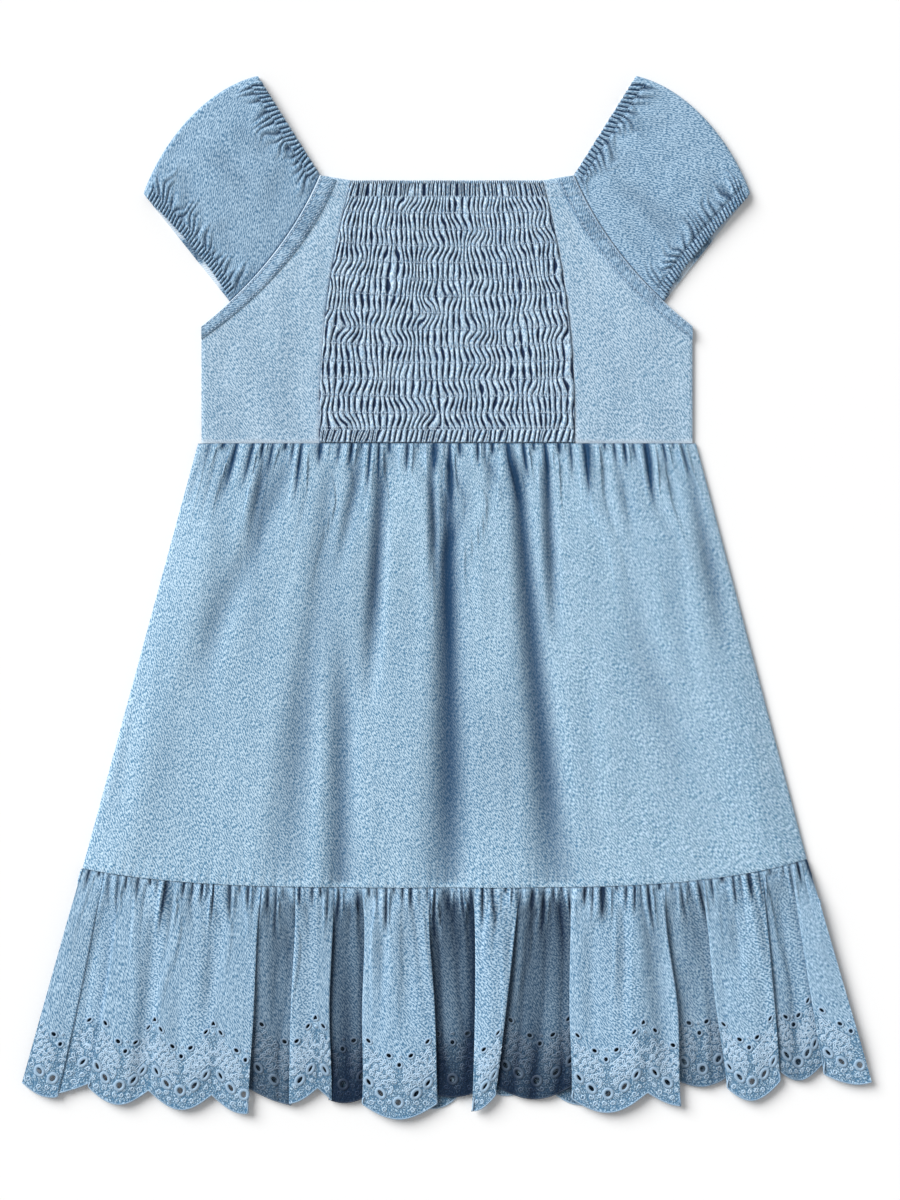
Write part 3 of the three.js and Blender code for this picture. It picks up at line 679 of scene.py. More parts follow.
def shirred_tucks(across, x, y):
    """The tucks between two rows, which lean and split, from 0 in a slit to 1."""
    rows_down = (CASING_BOTTOM - y + row_bow(across, y)) / ROW_PITCH
    row = np.floor(rows_down)
    share = rows_down - row
    between = np.clip(np.sin(np.pi * share), 0, 1)
    on_rows = [1.1 * drift(11, x, ROW_APART * number, 15, 11) for number in (row, row + 1)]
    sway = 0.3 * drift(12, x, ROW_APART * row, 4.2, 11) * between
    tuck = across * TUCKS + blend(*on_rows, smooth_step(share, 0, 1)) + sway
    ridge = ridges(tuck, 1 + 0.35 * drift(13, x, y, 4.5, 6))
    near_row = 1 - smooth_step(between, 0.3, 0.9)
    split = near_row * smooth_step(drift(16, x, y, 4, 5), -0.3, 0.2)
    return ridge * (1 - 0.5 * split * narrow_valley(tuck - 0.5, 0.14)), between


def smock_relief(across, y):
    """The relief of the shirred cloth, as a share of its full height, and its painted shade and highlight.
    """
    x = across * 2 * SMOCK_HALF_WIDTH
    tucks, between = shirred_tucks(across, x, y)
    sunk = smooth_step(drift(14, x, y, 3.2, 6), 0.25, 0.7)
    swell = 0.8 + 0.2 * drift(17, x, y, 3, 6)
    body = blend(0.5, tucks * swell * (1 - 0.35 * sunk), smooth_step(between, -0.3, 0.6))
    rolled_top = smooth_step(y, NECK_Y - 2.2, NECK_Y - 1.4)
    casing = shirred_ribs(across * CASING_RIBS, 15, x, y)
    casing = blend(casing, ridges(across * CASING_RIBS * 2.4, 1.0), rolled_top)
    band = shirred_ribs(across * BAND_RIBS + 0.08 * (BAND_TOP - y), 18, x, y)
    ribbed = (y > CASING_BOTTOM) | (y < BAND_TOP)
    ribs = np.where(y > CASING_BOTTOM, casing, band)
    ridge = np.where(ribbed, ribs, tucks)
    relief = np.where(ribbed, 0.75 * ribs, body)
    for stitched in (CASING_BOTTOM, BAND_TOP):
        relief = relief * (1 - 0.4 * near(y - stitched, 0.6))
    # Painted shade in the slits, widest where a slit opens, and painted highlight with wear on the crests;
    # sunk puffs and the pinched cloth on the rows get more painted shade.
    open_slit = smooth_step(drift(19, x, y, 3.1, 4.5), -0.4, 0.4)
    slit_width = np.where(ribbed, 0.35, 0.03 + (0.28 + 0.22 * open_slit) * between)
    hollow = 1.25 * (1 - smooth_step(ridge, slit_width, slit_width + 0.4))
    highlight_and_wear = np.where(ribbed, 1, 0.2 + 0.85 * smooth_step(between, 0.15, 0.6))
    hollow = hollow - highlight_and_wear * smooth_step(ridge, 0.74, 0.96)
    pinch = 0.85 * (1 - smooth_step(between, 0.12, 0.58)) * (1 - ridges(across * TUCKS * 1.5, 1.2))
    return relief, np.where(ribbed, hollow, hollow + 0.3 * sunk * between + pinch)


def smock_face(across, y):
    """The face of the shirred centre, and how hollow it is."""
    half = smock_half_width(y) - SEAM_GAP / 2
    relief, hollow = smock_relief(across, y)
    to_side = np.minimum(across, 1 - across) * 2 * half
    to_end = np.minimum(NECK_Y - y, y - WAIST_Y)
    turned = np.maximum(rolled(to_side, 1.2), rolled(to_end, 0.9))
    z = FRONT_FACE + SMOCK_RELIEF * relief * (1 - turned) - 0.35 * turned
    # The dark line along the sides is the seam; the waist edge is painted paler.
    edge_line = 0.5 * near(to_side, 0.35)
    hollow = hollow - 0.9 * near(y - WAIST_Y, 1.2)
    y = y + 0.5 * (relief - 0.4) * near(NECK_Y - y, 1.5)
    return np.stack([blend(-half, half, across), y, z], -1), np.maximum(hollow, edge_line)


# %% The shirred centre as a shell
SMOCK_COLUMNS = 400
SMOCK_LINES = 186


def panel_grid(rows, columns):
    """Shares of the way down and across, for every point of a grid."""
    return np.meshgrid(np.linspace(0, 1, rows + 1), np.linspace(0, 1, columns + 1), indexing="ij")


down, across = panel_grid(SMOCK_LINES, SMOCK_COLUMNS)
smock_y = blend(NECK_Y, WAIST_Y, down)
face, hollow = smock_face(across, smock_y)
under = face.copy()
under[..., 2] = FRONT_UNDER
CUT_FULLNESS = 1.7
cloth = np.stack([face[..., 0] * CUT_FULLNESS, smock_y], -1)
shirred_centre = shell("shirred_centre", face, under, shirred_denim, hollow, cloth, plain_under=True)

# %% The elastic thread rows and the topstitching of the centre
LINE_STEPS = 300
STITCH_LIFT = 0.12


def smock_line(y):
    steps = np.linspace(0.012, 0.988, LINE_STEPS)
    line, _ = smock_face(steps, y + row_bow(steps, y))
    return line + [0, 0, STITCH_LIFT]


elastic_rows = [smock_line(CASING_BOTTOM - ROW_PITCH * row) for row in range(SMOCK_ROWS)]
double_row = [smock_line(BAND_TOP), smock_line(BAND_TOP + 1.6)]
shirring_threads = stitch_rows("shirring_threads", elastic_rows + double_row, pale_thread, 0.85, 0.5, 0.5)

# %% [markdown]
# ## The plain side panels
# On both sides of the shirring lies one plain piece, cut round the armhole. It is almost flat, with
# a soft crown, faint creases where the elastic and the armhole draw it, and a neck hem that is
# turned in and stitched twice. One function makes both, mirrored, with creases of their own.

# %% The face of a side panel
PANEL_CROWN = 0.7
NECK_HEM = 8.5
SIDE_CREASES = {
    # start, end, width, depth
    -1: [
        ((-78, 205), (-92, 150), 7, 0.45),
        ((-66, 218), (-80, 196), 3, 0.4),
        ((-100, 165), (-108, 110), 9, 0.35),
        ((-84, 140), (-80, 95), 8, 0.3),
        ((-120, 148), (-126, 120), 5, 0.3),
    ],
    1: [
        ((77, 208), (90, 152), 7, 0.45),
        ((68, 214), (76, 190), 3, 0.4),
        ((104, 168), (112, 118), 9, 0.3),
        ((88, 128), (84, 96), 8, 0.3),
        ((121, 146), (128, 112), 5, 0.3),
    ],
}


def armhole_x(y):
    """Where the left armhole seam lies at a height."""
    along = np.linspace(0, 1, 200)
    seam = curve(ARMHOLE, along)
    return np.interp(y, seam[::-1, 1], seam[::-1, 0])


def side_face(x, y, side):
    """The height of a side panel's face, for places on either side."""
    left = -np.abs(x)
    inner, outer = -smock_half_width(y), armhole_x(y)
    across = np.clip((left - outer) / (inner - outer), 0, 1)
    up = np.clip((y - WAIST_Y) / (NECK_Y - WAIST_Y), 0, 1)
    z = FRONT_FACE + PANEL_CROWN * (np.sin(np.pi * across) * np.sin(np.pi * up)) ** 2
    for start, end, width, depth in SIDE_CREASES[side]:
        z = z - depth * trough(x, y, start, end, width)
    z = z + 0.1 * drift(21 + side, x, y, 14, 22)
    below_hem = NECK_Y - NECK_HEM - y
    return z + 0.25 * smooth_step(-below_hem, -0.8, 0.8) - 0.3 * near(below_hem, 1)


def side_panel(side):
    down, across = panel_grid(110, 56)
    high = blend(ARMHOLE[0][1], WAIST_Y, down)
    dip = (ARMHOLE[0][1] - NECK_Y) / (ARMHOLE[0][1] - WAIST_Y)
    inner_y = high - dip * (high - WAIST_Y)
    left, right = armhole_x(high), -smock_half_width(inner_y) - SEAM_GAP / 2
    x = blend(left, right, across)
    y = blend(high, inner_y, across)
    to_seam = (1 - across) * (right - left)
    to_side = np.where(high < ARMHOLE[-1][1], across * (right - left), 99)
    to_end = np.minimum(y - WAIST_Y, blend(ARMHOLE[0][1], NECK_Y, across) - y)
    turned = np.maximum(rolled(to_seam, 1.6), np.maximum(rolled(to_side, 2.0), rolled(to_end, 0.8)))
    z = side_face(side * np.abs(x), y, side) - 0.6 * turned
    face = np.stack([x, y, z], -1)
    # Painted paler along the waist and along the seam with the shirring; the drift is a random tone.
    hollow = -0.9 * near(y - WAIST_Y, 1.6) - 0.35 * near(right - x, 1)
    hollow = hollow + 0.1 * drift(23, x, y, 9, 30)
    face, hollow = mirrored(side, face, hollow)
    under = wrong_side(face, CLOTH, FRONT_UNDER)
    under[..., :2] = face[..., :2]
    return shell(f"side_panel_{SIDES[side]}", face, under, bodice_denim, hollow, face[..., :2])


side_panels = {side: side_panel(side) for side in SIDES}

# %% [markdown]
# ## The armhole bands
# The seam allowance of the armhole is turned towards the bodice and stitched down twice, which
# raises a flat band with a crisp outer edge, painted pale as a highlight. Between the two rows the
# cloth is drawn a little, so the band is puckered, with painted shade in its puckers and along its
# stitches, and washed unevenly. It lies on the side panel, so its points are the panel's, moved out.

# %% A band along the armhole
ARMHOLE_BAND_WIDTH = 9.5
ARMHOLE_BAND_LENGTH = 118
BAND_RISE = 1.0
BAND_STITCHES = (0.17, 0.83)
BAND_PUCKER = 4.2


def band_face(along, across, side):
    """The face of a band, from its outer edge on the armhole to its inner border."""
    seam, border = curve(ARMHOLE, along), curve(BAND_INNER, along)
    flat = blend(seam, border, across[..., None])
    x, y = -side * flat[..., 0], flat[..., 1]
    length = ARMHOLE_BAND_LENGTH * along
    pucker = ridges(length / BAND_PUCKER + 0.5 * drift(31 + side, length, across, 7, 1) + across * 0.6)
    from_seam, from_border = across * ARMHOLE_BAND_WIDTH, (1 - across) * ARMHOLE_BAND_WIDTH
    turned = np.maximum(rolled(from_seam, 0.9), rolled(from_border, 2.4))
    rise = BAND_RISE * (1 - turned) + 0.34 * (pucker - 0.5) * np.sin(np.pi * across)
    # Painted shade in the puckers and the stitch furrows, and a painted highlight on the outer edge; the
    # drift is a random tone.
    hollow = 0.3 * (1 - pucker) * np.sin(np.pi * across) - 0.8 * near(from_seam, 0.8)
    for stitched in BAND_STITCHES:
        furrow = near((across - stitched) * ARMHOLE_BAND_WIDTH, 0.6)
        rise = rise - 0.3 * furrow
        hollow = hollow + 0.4 * furrow
    face = np.stack([x, y, side_face(x, y, side) + SEAM_GAP / 4 + rise], -1)
    return face, hollow + 0.2 * drift(33 + side, length, across, 6, 0.5)


def armhole_band(side):
    along, across = panel_grid(130, 16)
    face, hollow = band_face(along, across, side)
    if side > 0:
        face, hollow = face[:, ::-1], hollow[:, ::-1]
    under = face.copy()
    under[..., 2] = side_face(face[..., 0], face[..., 1], side) + 0.06
    cloth = np.stack([across * ARMHOLE_BAND_WIDTH, along * ARMHOLE_BAND_LENGTH], -1)
    return shell(f"armhole_band_{SIDES[side]}_cloth", face, under, sleeve_denim, hollow, cloth)


armhole_bands = {side: armhole_band(side) for side in SIDES}

# %% Topstitching of the bodice
def band_line(across, side):
    steps = np.linspace(0.01, 0.99, LINE_STEPS)
    line, _ = band_face(steps, np.full(LINE_STEPS, across), side)
    return line + [0, 0, STITCH_LIFT]


def neck_line(y, side):
    x = side * np.linspace(57.5, 66.5, 40)
    return np.stack([x, np.full(40, y), side_face(x, np.full(40, y), side) + STITCH_LIFT], -1)


def bar_tack(side):
    """The short upright row that holds the end of the elastic in the neck casing."""
    y = np.linspace(NECK_Y - NECK_HEM, NECK_Y - 1, 20)
    x = side * np.full(20, smock_half_width(NECK_Y) + 1.5)
    return np.stack([x, y, side_face(x, y, side) + STITCH_LIFT], -1)


bodice_lines = []
for side in SIDES:
    bodice_lines += [band_line(across, side) for across in BAND_STITCHES]
    bodice_lines += [neck_line(y, side) for y in (NECK_Y - 1.9, NECK_Y - NECK_HEM)]
    bodice_lines.append(bar_tack(side))
bodice_topstitching = stitch_rows("bodice_topstitching", bodice_lines, pale_thread, 1.7, 0.8, 0.5)

# %% [markdown]
# ## The puff sleeves
# A sleeve is one piece, folded at its outer edge and sewn into the armhole, so it lies as a flat
# tube. Elastic in the neck edge and in the cuff draws it into ribs, and from there gathers run out
# into the puff, long and short in turn. The middle is smooth, with a few soft creases, which are
# listed and differ on the two sleeves.

# %% The shape of a sleeve
SLEEVE_SEAM_END = 0.82
SLEEVE_LENGTH = 95
FOLD_RADIUS = 2.1
CUFF_BOW = 3
EDGE_BUMP = 0.45
SLEEVE_PUFF = [
    # share of the way from the neck to the cuff, height
    (0, 0.1), (0.07, 0.2), (0.14, 0.9), (0.23, 1.7), (0.38, 2.2),
    (0.62, 2.2), (0.77, 1.8), (0.87, 1.0), (0.93, 0.2), (1, 0.1),
]
NECK_RIBS = 24
CUFF_RIBS = 35
NECK_STRIP = 0.078
CUFF_STRIP = 0.932
SLEEVE_CREASES = {
    # start, end, width, depth
    -1: [
        ((-128, 246), (-108, 226), 6, 0.9),
        ((-147, 236), (-140, 212), 5, 0.8),
        ((-118, 262), (-98, 244), 6, 0.6),
        ((-126, 208), (-118, 190), 5, 0.7),
        ((-90, 240), (-100, 214), 6, 0.5),
        ((-154, 246), (-146, 262), 5, 0.5),
    ],
    1: [
        ((96, 230), (137, 200), 6, 1.3),
        ((92, 250), (108, 236), 5, 0.7),
        ((112, 214), (134, 192), 4, 0.7),
        ((148, 238), (152, 216), 5, 0.6),
        ((108, 264), (128, 262), 6, 0.5),
        ((100, 208), (118, 186), 5, 0.6),
    ],
}


def sleeve_gathers(along, share, side):
    """Ribs on the two elastic strips, and the gathers that run out of them into the puff, with painted shade
    in their slits and a painted highlight on their crests.
    """
    seed = 41 + 10 * side
    to_cuff = 1 - along
    bend = drift(seed, share * 90, along * SLEEVE_LENGTH, 9, 9)
    slant = 0.6 * (along - NECK_STRIP) / NECK_STRIP
    neck_rib = ridges(share * NECK_RIBS + 0.35 * bend + slant, 1.5)
    cuff_rib = ridges(share * CUFF_RIBS + 0.35 * bend, 1.4)
    on_neck = 1 - smooth_step(along, NECK_STRIP - 0.012, NECK_STRIP)
    on_cuff = smooth_step(along, CUFF_STRIP, CUFF_STRIP + 0.012)
    neck_reach = 0.21 + 0.1 * drift(seed + 1, share * NECK_RIBS, 0, 1.7, 1)
    cuff_reach = 0.24 + 0.12 * drift(seed + 2, share * CUFF_RIBS, 0, 2.1, 1)
    neck_count = share * NECK_RIBS * 0.62 + 0.95 * bend
    cuff_count = share * CUFF_RIBS * 0.52 + 0.95 * bend
    neck_fade = (1 - on_neck) * (1 - smooth_step(along, NECK_STRIP, neck_reach))
    cuff_fade = (1 - on_cuff) * (1 - smooth_step(to_cuff, 1 - CUFF_STRIP, cuff_reach))
    neck_run, cuff_run = ridges(neck_count, 0.9), ridges(cuff_count, 0.9)
    strips = 1.3 * (neck_rib * on_neck + cuff_rib * on_cuff)
    runs = 1.7 * (neck_run * neck_fade + cuff_run * cuff_fade)
    pinch = near(along - NECK_STRIP, 0.009) + near(along - CUFF_STRIP, 0.009)
    height = (strips + runs) * (1 - 0.7 * pinch)
    slit = on_neck * (1 - neck_rib) + on_cuff * (1 - cuff_rib)
    loose = neck_fade * (1 - neck_run) + cuff_fade * (1 - cuff_run)
    crest = on_neck * neck_rib + on_cuff * cuff_rib + neck_fade * neck_run**3 + cuff_fade * cuff_run**3
    # Painted shade in slits and loose folds, and painted highlight on crests.
    hollow = 1.3 * slit**1.7 + 1.0 * loose**1.2 + 0.3 * pinch - 1.8 * smooth_step(crest, 0.35, 0.85)
    return height, hollow


def sleeve_face(along, share, side):
    """The front of a sleeve, from its outer fold at share 0 to the armhole seam at share 1."""
    seam = curve(ARMHOLE, SLEEVE_SEAM_END * along)
    fold = curve(SLEEVE_FOLD, along)
    outward = fold - seam
    outward /= np.linalg.norm(outward, axis=-1, keepdims=True)
    seam = seam + outward * SEAM_GAP
    length = np.linalg.norm(fold - seam, axis=-1)
    straight = length - FOLD_RADIUS
    bow = CUFF_BOW * smooth_step(along, 0.6, 1)
    distance = straight * (1 - share)
    swing = bow * np.sin(np.pi * np.clip(distance / length, 0, 1) ** 0.7)
    flat = seam + outward * distance[..., None]
    gathers, hollow = sleeve_gathers(along, share, side)
    at_edge = near(along * SLEEVE_LENGTH, 1.6) - near((1 - along) * SLEEVE_LENGTH, 1.6)
    up_the_edge = np.stack([outward[..., 1], -outward[..., 0]], -1)
    flat = flat + up_the_edge * (swing + EDGE_BUMP * (gathers - 0.6) * at_edge)[..., None]
    x, y = flat[..., 0], flat[..., 1]
    puff = np.interp(along, *zip(*SLEEVE_PUFF)) * np.sin(np.pi * share)
    rest = blend(2 * FOLD_RADIUS, FRONT_FACE, smooth_step(share, 0, 1))
    open_edge = np.minimum(along, 1 - along) * SLEEVE_LENGTH
    seam_edge = (1 - share) * length
    fade = smooth_step(seam_edge, 0, 5) * smooth_step(share, 0, 0.03)
    waves = 0.35 * drift(45 + side, x, y, 13, 13) * np.sin(np.pi * share) * np.sin(np.pi * along)
    z = rest + puff + gathers * fade + waves
    sunk = np.zeros_like(z)
    for start, end, width, depth in SLEEVE_CREASES[side]:
        sunk = sunk + depth * trough(np.abs(x) * side, y, start, end, width)
    z = z - sunk - 0.8 * rolled(open_edge, 1.2) - 1.1 * rolled(seam_edge, 2.0)
    # Painted shade in the creases and along the armhole seam, where the sleeve goes under the band; the
    # outer fold is painted paler.
    hollow = hollow * fade + 0.16 * sunk - 0.3 * (1 - smooth_step(share, 0, 0.02))
    return np.stack([x, y, z], -1), np.maximum(hollow, 0.7 * near(seam_edge, 0.45))


# %% A sleeve as one shell, round its fold
SLEEVE_CLOTH = 0.9
SLEEVE_LINES = 84
BACK_STEPS = 34
FOLD_STEPS = 8
FRONT_STEPS = 190


def uneven(counts, ends):
    """Rows that stand close together where the detail is fine."""
    parts = [np.linspace(*pair, count, endpoint=False) for count, pair in zip(counts, zip(ends, ends[1:]))]
    return np.concatenate([*parts, [ends[-1]]])


def sleeve(side):
    lines = uneven((12, 22, 16, 22, 12), (0, 0.1, 0.3, 0.68, 0.9, 1))
    along, share = np.meshgrid(lines, np.linspace(0, 1, FRONT_STEPS + 1), indexing="ij")
    front, front_hollow = sleeve_face(along, share, side)
    edge, seam = front[:, :1], front[:, -1:]
    back_share = np.linspace(0, 1, BACK_STEPS)[None, :, None]
    back = blend(seam, edge, back_share)
    back_along, back_across = np.meshgrid(lines, np.linspace(1, 0, BACK_STEPS), indexing="ij")
    back_gathers, back_hollow = sleeve_gathers(back_along, back_across, side)
    back[..., 2] = 0.35 * np.clip(1 - back_gathers, 0, 1) * smooth_step(back_across, 0, 0.15)
    outward = edge[..., :2] - seam[..., :2]
    outward /= np.linalg.norm(outward, axis=-1, keepdims=True)
    turns = np.pi * (np.arange(1, FOLD_STEPS) / FOLD_STEPS - 0.5)
    fold = np.repeat(edge, FOLD_STEPS - 1, axis=1)
    fold[..., :2] += outward * FOLD_RADIUS * np.cos(turns)[None, :, None]
    fold[..., 2] = edge[..., 2] * (1 + np.sin(turns)) / 2
    fold_hollow = np.zeros(fold.shape[:2])
    face = np.concatenate([back, fold, front], 1)
    hollow = np.concatenate([0.5 * back_hollow, fold_hollow, front_hollow], 1)
    under = wrong_side(face, SLEEVE_CLOTH, 0.05)
    face, under, hollow = mirrored(side, face, under, hollow)
    steps = np.linalg.norm(np.diff(face[SLEEVE_LINES // 2], axis=0), axis=1)
    girth = np.concatenate([[0], np.cumsum(steps)])
    cloth = np.stack(np.broadcast_arrays(girth[None, :], lines[:, None] * -SLEEVE_LENGTH), -1)
    return shell(f"puff_sleeve_{SIDES[side]}", face, under, sleeve_denim, hollow, cloth)


sleeves = {side: sleeve(side) for side in SIDES}

# %% Stitches along the elastic strips of the sleeves
def sleeve_line(along, side):
    steps = np.linspace(0.03, 0.96, LINE_STEPS)
    line, _ = sleeve_face(np.full(LINE_STEPS, along), steps, side)
    return line * [-side, 1, 1] + [0, 0, STITCH_LIFT]


sleeve_lines = [sleeve_line(along, side) for side in SIDES for along in (NECK_STRIP, CUFF_STRIP)]
sleeve_stitching = stitch_rows("sleeve_stitching", sleeve_lines, blue_thread, 1.6, 0.7, 0.45)

# %% [markdown]
# ## The skirt
# The skirt is cut much wider than the waist and gathered into it. Right under the seam that makes
# some forty small pleats. Most run out within a few centimetres, and some open into the long soft
# folds that fall to the hem. The long ones have a row each in a table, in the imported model's own
# sizes, and the small ones come from ridges whose lengths wander.

# %% The long folds of the skirt
SKIRT_TOP_HALF = 139.2
SKIRT_LEFT, SKIRT_RIGHT = -203.8, 201.2
SEAM_LOW = -162.4
SEAM_RISE = {-1: 10.6, 1: 15.7}
SEAM_CURVE = 3.6
SKIRT_PUFF = 4.4
SKIRT_EDGE = 26
SKIRT_VALLEYS = [
    # waist, hem, from, to, narrow, wide, depth
    (-135.5, -218, 0, 0.16, 3, 4, 0.5),
    (-118.7, -179, 0, 0.13, 3, 4, 0.6),
    (-99.7, -149.5, 0, 0.18, 2.6, 4, 0.8),
    (-84, -190, 0, 0.62, 6, 12, 0.5),
    (-63.3, -91.8, 0, 1.2, 5, 11, 0.5),
    (-46.5, -96.3, 0, 0.27, 3, 5, 0.6),
    (-34.7, -50.4, 0, 0.6, 3, 7, 0.9),
    (-57.7, -59.9, 0.5, 1.4, 6, 8, 0.7),
    (-9, -1, 0, 0.32, 2.2, 3, 1),
    (1, 1.6, 0, 1.4, 3.4, 12, 1),
    (24.1, 27, 0, 0.12, 2.5, 4, 0.5),
    (38.1, 61, 0, 1.4, 3, 12, 1),
    (54.9, 67.8, 0, 0.46, 2.6, 6, 0.9),
    (93, 141.7, 0, 0.2, 3, 5, 0.5),
    (117, 197.7, 0, 0.14, 3, 4, 0.6),
    (132.7, 181, 0, 0.5, 3, 9, 0.6),
    (72.8, 151.2, 0.3, 0.75, 8, 12, 0.3),
]
VALLEY_SOFT_END = 0.06
VALLEY_SLOW_START = 0.17


def skirt_seam_y(x):
    """The seam between the skirt and the tier, which rises towards both sides."""
    left = SEAM_RISE[-1] * np.abs(np.minimum(x, 0) / SKIRT_LEFT) ** SEAM_CURVE
    right = SEAM_RISE[1] * np.abs(np.maximum(x, 0) / SKIRT_RIGHT) ** SEAM_CURVE
    return SEAM_LOW + left + right


def skirt_sides(down):
    """Where the skirt's two side seams lie, at a share of the way down."""
    return blend(-SKIRT_TOP_HALF, SKIRT_LEFT, down), blend(SKIRT_TOP_HALF, SKIRT_RIGHT, down)


def skirt_lift(x, down):
    """The height of the skirt's long folds over the flat cloth, and how sunk each place is."""
    left, right = skirt_sides(down)
    to_edge = np.minimum(x - left, right - x)
    rounded = np.sin(np.pi / 2 * np.clip(to_edge / SKIRT_EDGE, 0, 1))
    opened = blend(0.25, 1, smooth_step(down, 0, 0.25))
    sunk = np.zeros_like(x)
    for waist, hem, start, stop, narrow, wide, depth in SKIRT_VALLEYS:
        middle = (start + stop) / 2
        soft = VALLEY_SLOW_START if start else VALLEY_SOFT_END
        begun = smooth_step(down, start - soft, min(start + soft, middle))
        shows = begun * (1 - smooth_step(down, middle, stop + VALLEY_SOFT_END))
        width = blend(narrow, wide, np.clip(down, 0, 1))
        sunk = sunk + depth * shows * near(x - blend(waist, hem, down), width)
    sunk = np.minimum(sunk, 1)
    return SKIRT_PUFF * rounded * opened * (1 - sunk), sunk


# %% The small gathers under the waist
WAIST_GATHERS = 40
GATHER_HEIGHT = 2.2


def gather_run(count, reach, depth_down, seed, bend=0.35):
    """Ridges under a gathered seam, each running out after a length of its own."""
    wander = bend * drift(seed, count, depth_down, 1.4, 34) + 0.45 * drift(seed + 1, count, 0, 1.7, 1)
    phase = count + wander
    ridge = ridges(phase, 0.62)
    number = np.floor(phase + 0.5)
    own_reach = reach * np.maximum(0.12, 0.55 + 0.35 * np.sin(2.3 * number) + 0.3 * np.sin(5.1 * number))
    own_depth = 0.75 + 0.25 * np.sin(3.7 * number + 1)
    return ridge, own_depth * (1 - smooth_step(depth_down, 0.1 * own_reach, own_reach))


def skirt_gathers(across, depth):
    """The small gathers of the waist: their height, and the painted shade of their slits with a painted
    highlight on their crests.
    """
    fine, fine_fade = gather_run(across * WAIST_GATHERS, 34, depth, 51)
    broad, broad_fade = gather_run(across * WAIST_GATHERS * 0.42, 105, depth, 61)
    begun = smooth_step(depth, 2, 14)
    height = GATHER_HEIGHT * fine * fine_fade + 1.7 * broad * broad_fade * begun
    # Painted shade in the slits, and a painted highlight on the crests.
    slit = np.minimum(1, 3 * (1 - fine) ** 1.5 * fine_fade)
    soft = 0.5 * (1 - broad) ** 1.3 * broad_fade * begun
    return height, slit + soft - 0.5 * smooth_step(fine, 0.75, 1) * fine_fade


# %% The skirt front as a shell
SKIRT_COLUMNS = 600
SKIRT_ROWS = (28, 14, 12, 4)
SKIRT_ROW_ENDS = (0, 0.16, 0.5, 0.975, 1)


def skirt_face(across, down):
    """The face of the skirt front, its painted shade and highlight, and its place on the flat cut."""
    left, right = skirt_sides(down)
    x = blend(left, right, across)
    hem_x = blend(SKIRT_LEFT, SKIRT_RIGHT, across)
    low = skirt_seam_y(hem_x) + SEAM_GAP
    top = WAIST_Y - SEAM_GAP
    y = blend(top, low, down)
    lift, sunk = skirt_lift(x, down)
    gathers, slits = skirt_gathers(across, top - y)
    to_side = np.minimum(x - left, right - x)
    calm = smooth_step(to_side, 0, 12)
    above_seam = y - low
    puckers = 0.35 * ridges(hem_x / 5.3 + 0.4 * drift(71, x, y, 9, 20), 0.9) * near(above_seam, 9)
    run = blend(across, x / (2 * SKIRT_TOP_HALF), 0.5) * 2 * SKIRT_TOP_HALF
    waves = 0.5 * drift(72, run, y, 10, 90) + 0.15 * drift(73, x, y, 6, 30)
    turned = np.maximum(rolled(top - y, 1.0), rolled(to_side, 2.4))
    z = FRONT_FACE + lift + calm * (gathers + puckers + waves) - 0.8 * turned
    z = np.maximum(z, FRONT_UNDER + 0.5)
    z = z - 0.25 * rolled(above_seam, 0.7)
    # Painted shade in the long folds and the gathers' slits; painted paler where the waves rise, near the
    # side seams, along the tier seam and on the puckers; a dark line runs along the waist seam.
    hollow = 0.85 * sunk**1.2 * smooth_step(down, -0.1, 0.12) + calm * slits
    hollow = hollow - 0.16 * drift(72, run, y, 10, 90) - 0.25 * near(to_side - 1.5, 1.5)
    hollow = hollow - 1.4 * near(above_seam, 1.9) - 0.3 * calm * puckers
    hollow = np.maximum(hollow, 0.5 * near(top - y, 0.35))
    return np.stack([x, y, z], -1), hollow, np.stack([hem_x, y], -1)


skirt_lines = uneven(SKIRT_ROWS, SKIRT_ROW_ENDS)
down, across = np.meshgrid(skirt_lines, np.linspace(0, 1, SKIRT_COLUMNS + 1), indexing="ij")
face, hollow, cloth = skirt_face(across, down)
under = wrong_side(face, CLOTH, FRONT_UNDER)
skirt_front = shell("skirt_front_cloth", face, under, skirt_denim, hollow, cloth)

# %% [markdown]
# ## The hem tier
# A long strip is gathered onto the skirt and falls in broad lobes, with deep folds between them
# that run back under the lobes on both sides. The cloth is one strip all the way, so the shell is
# one grid that turns down at a lobe's edge, runs under it and comes up again. Each fold has a row
# in a table. A count of scallops runs along the cloth, so the scalloped hem and the eyelets vanish
# into the folds as they should.

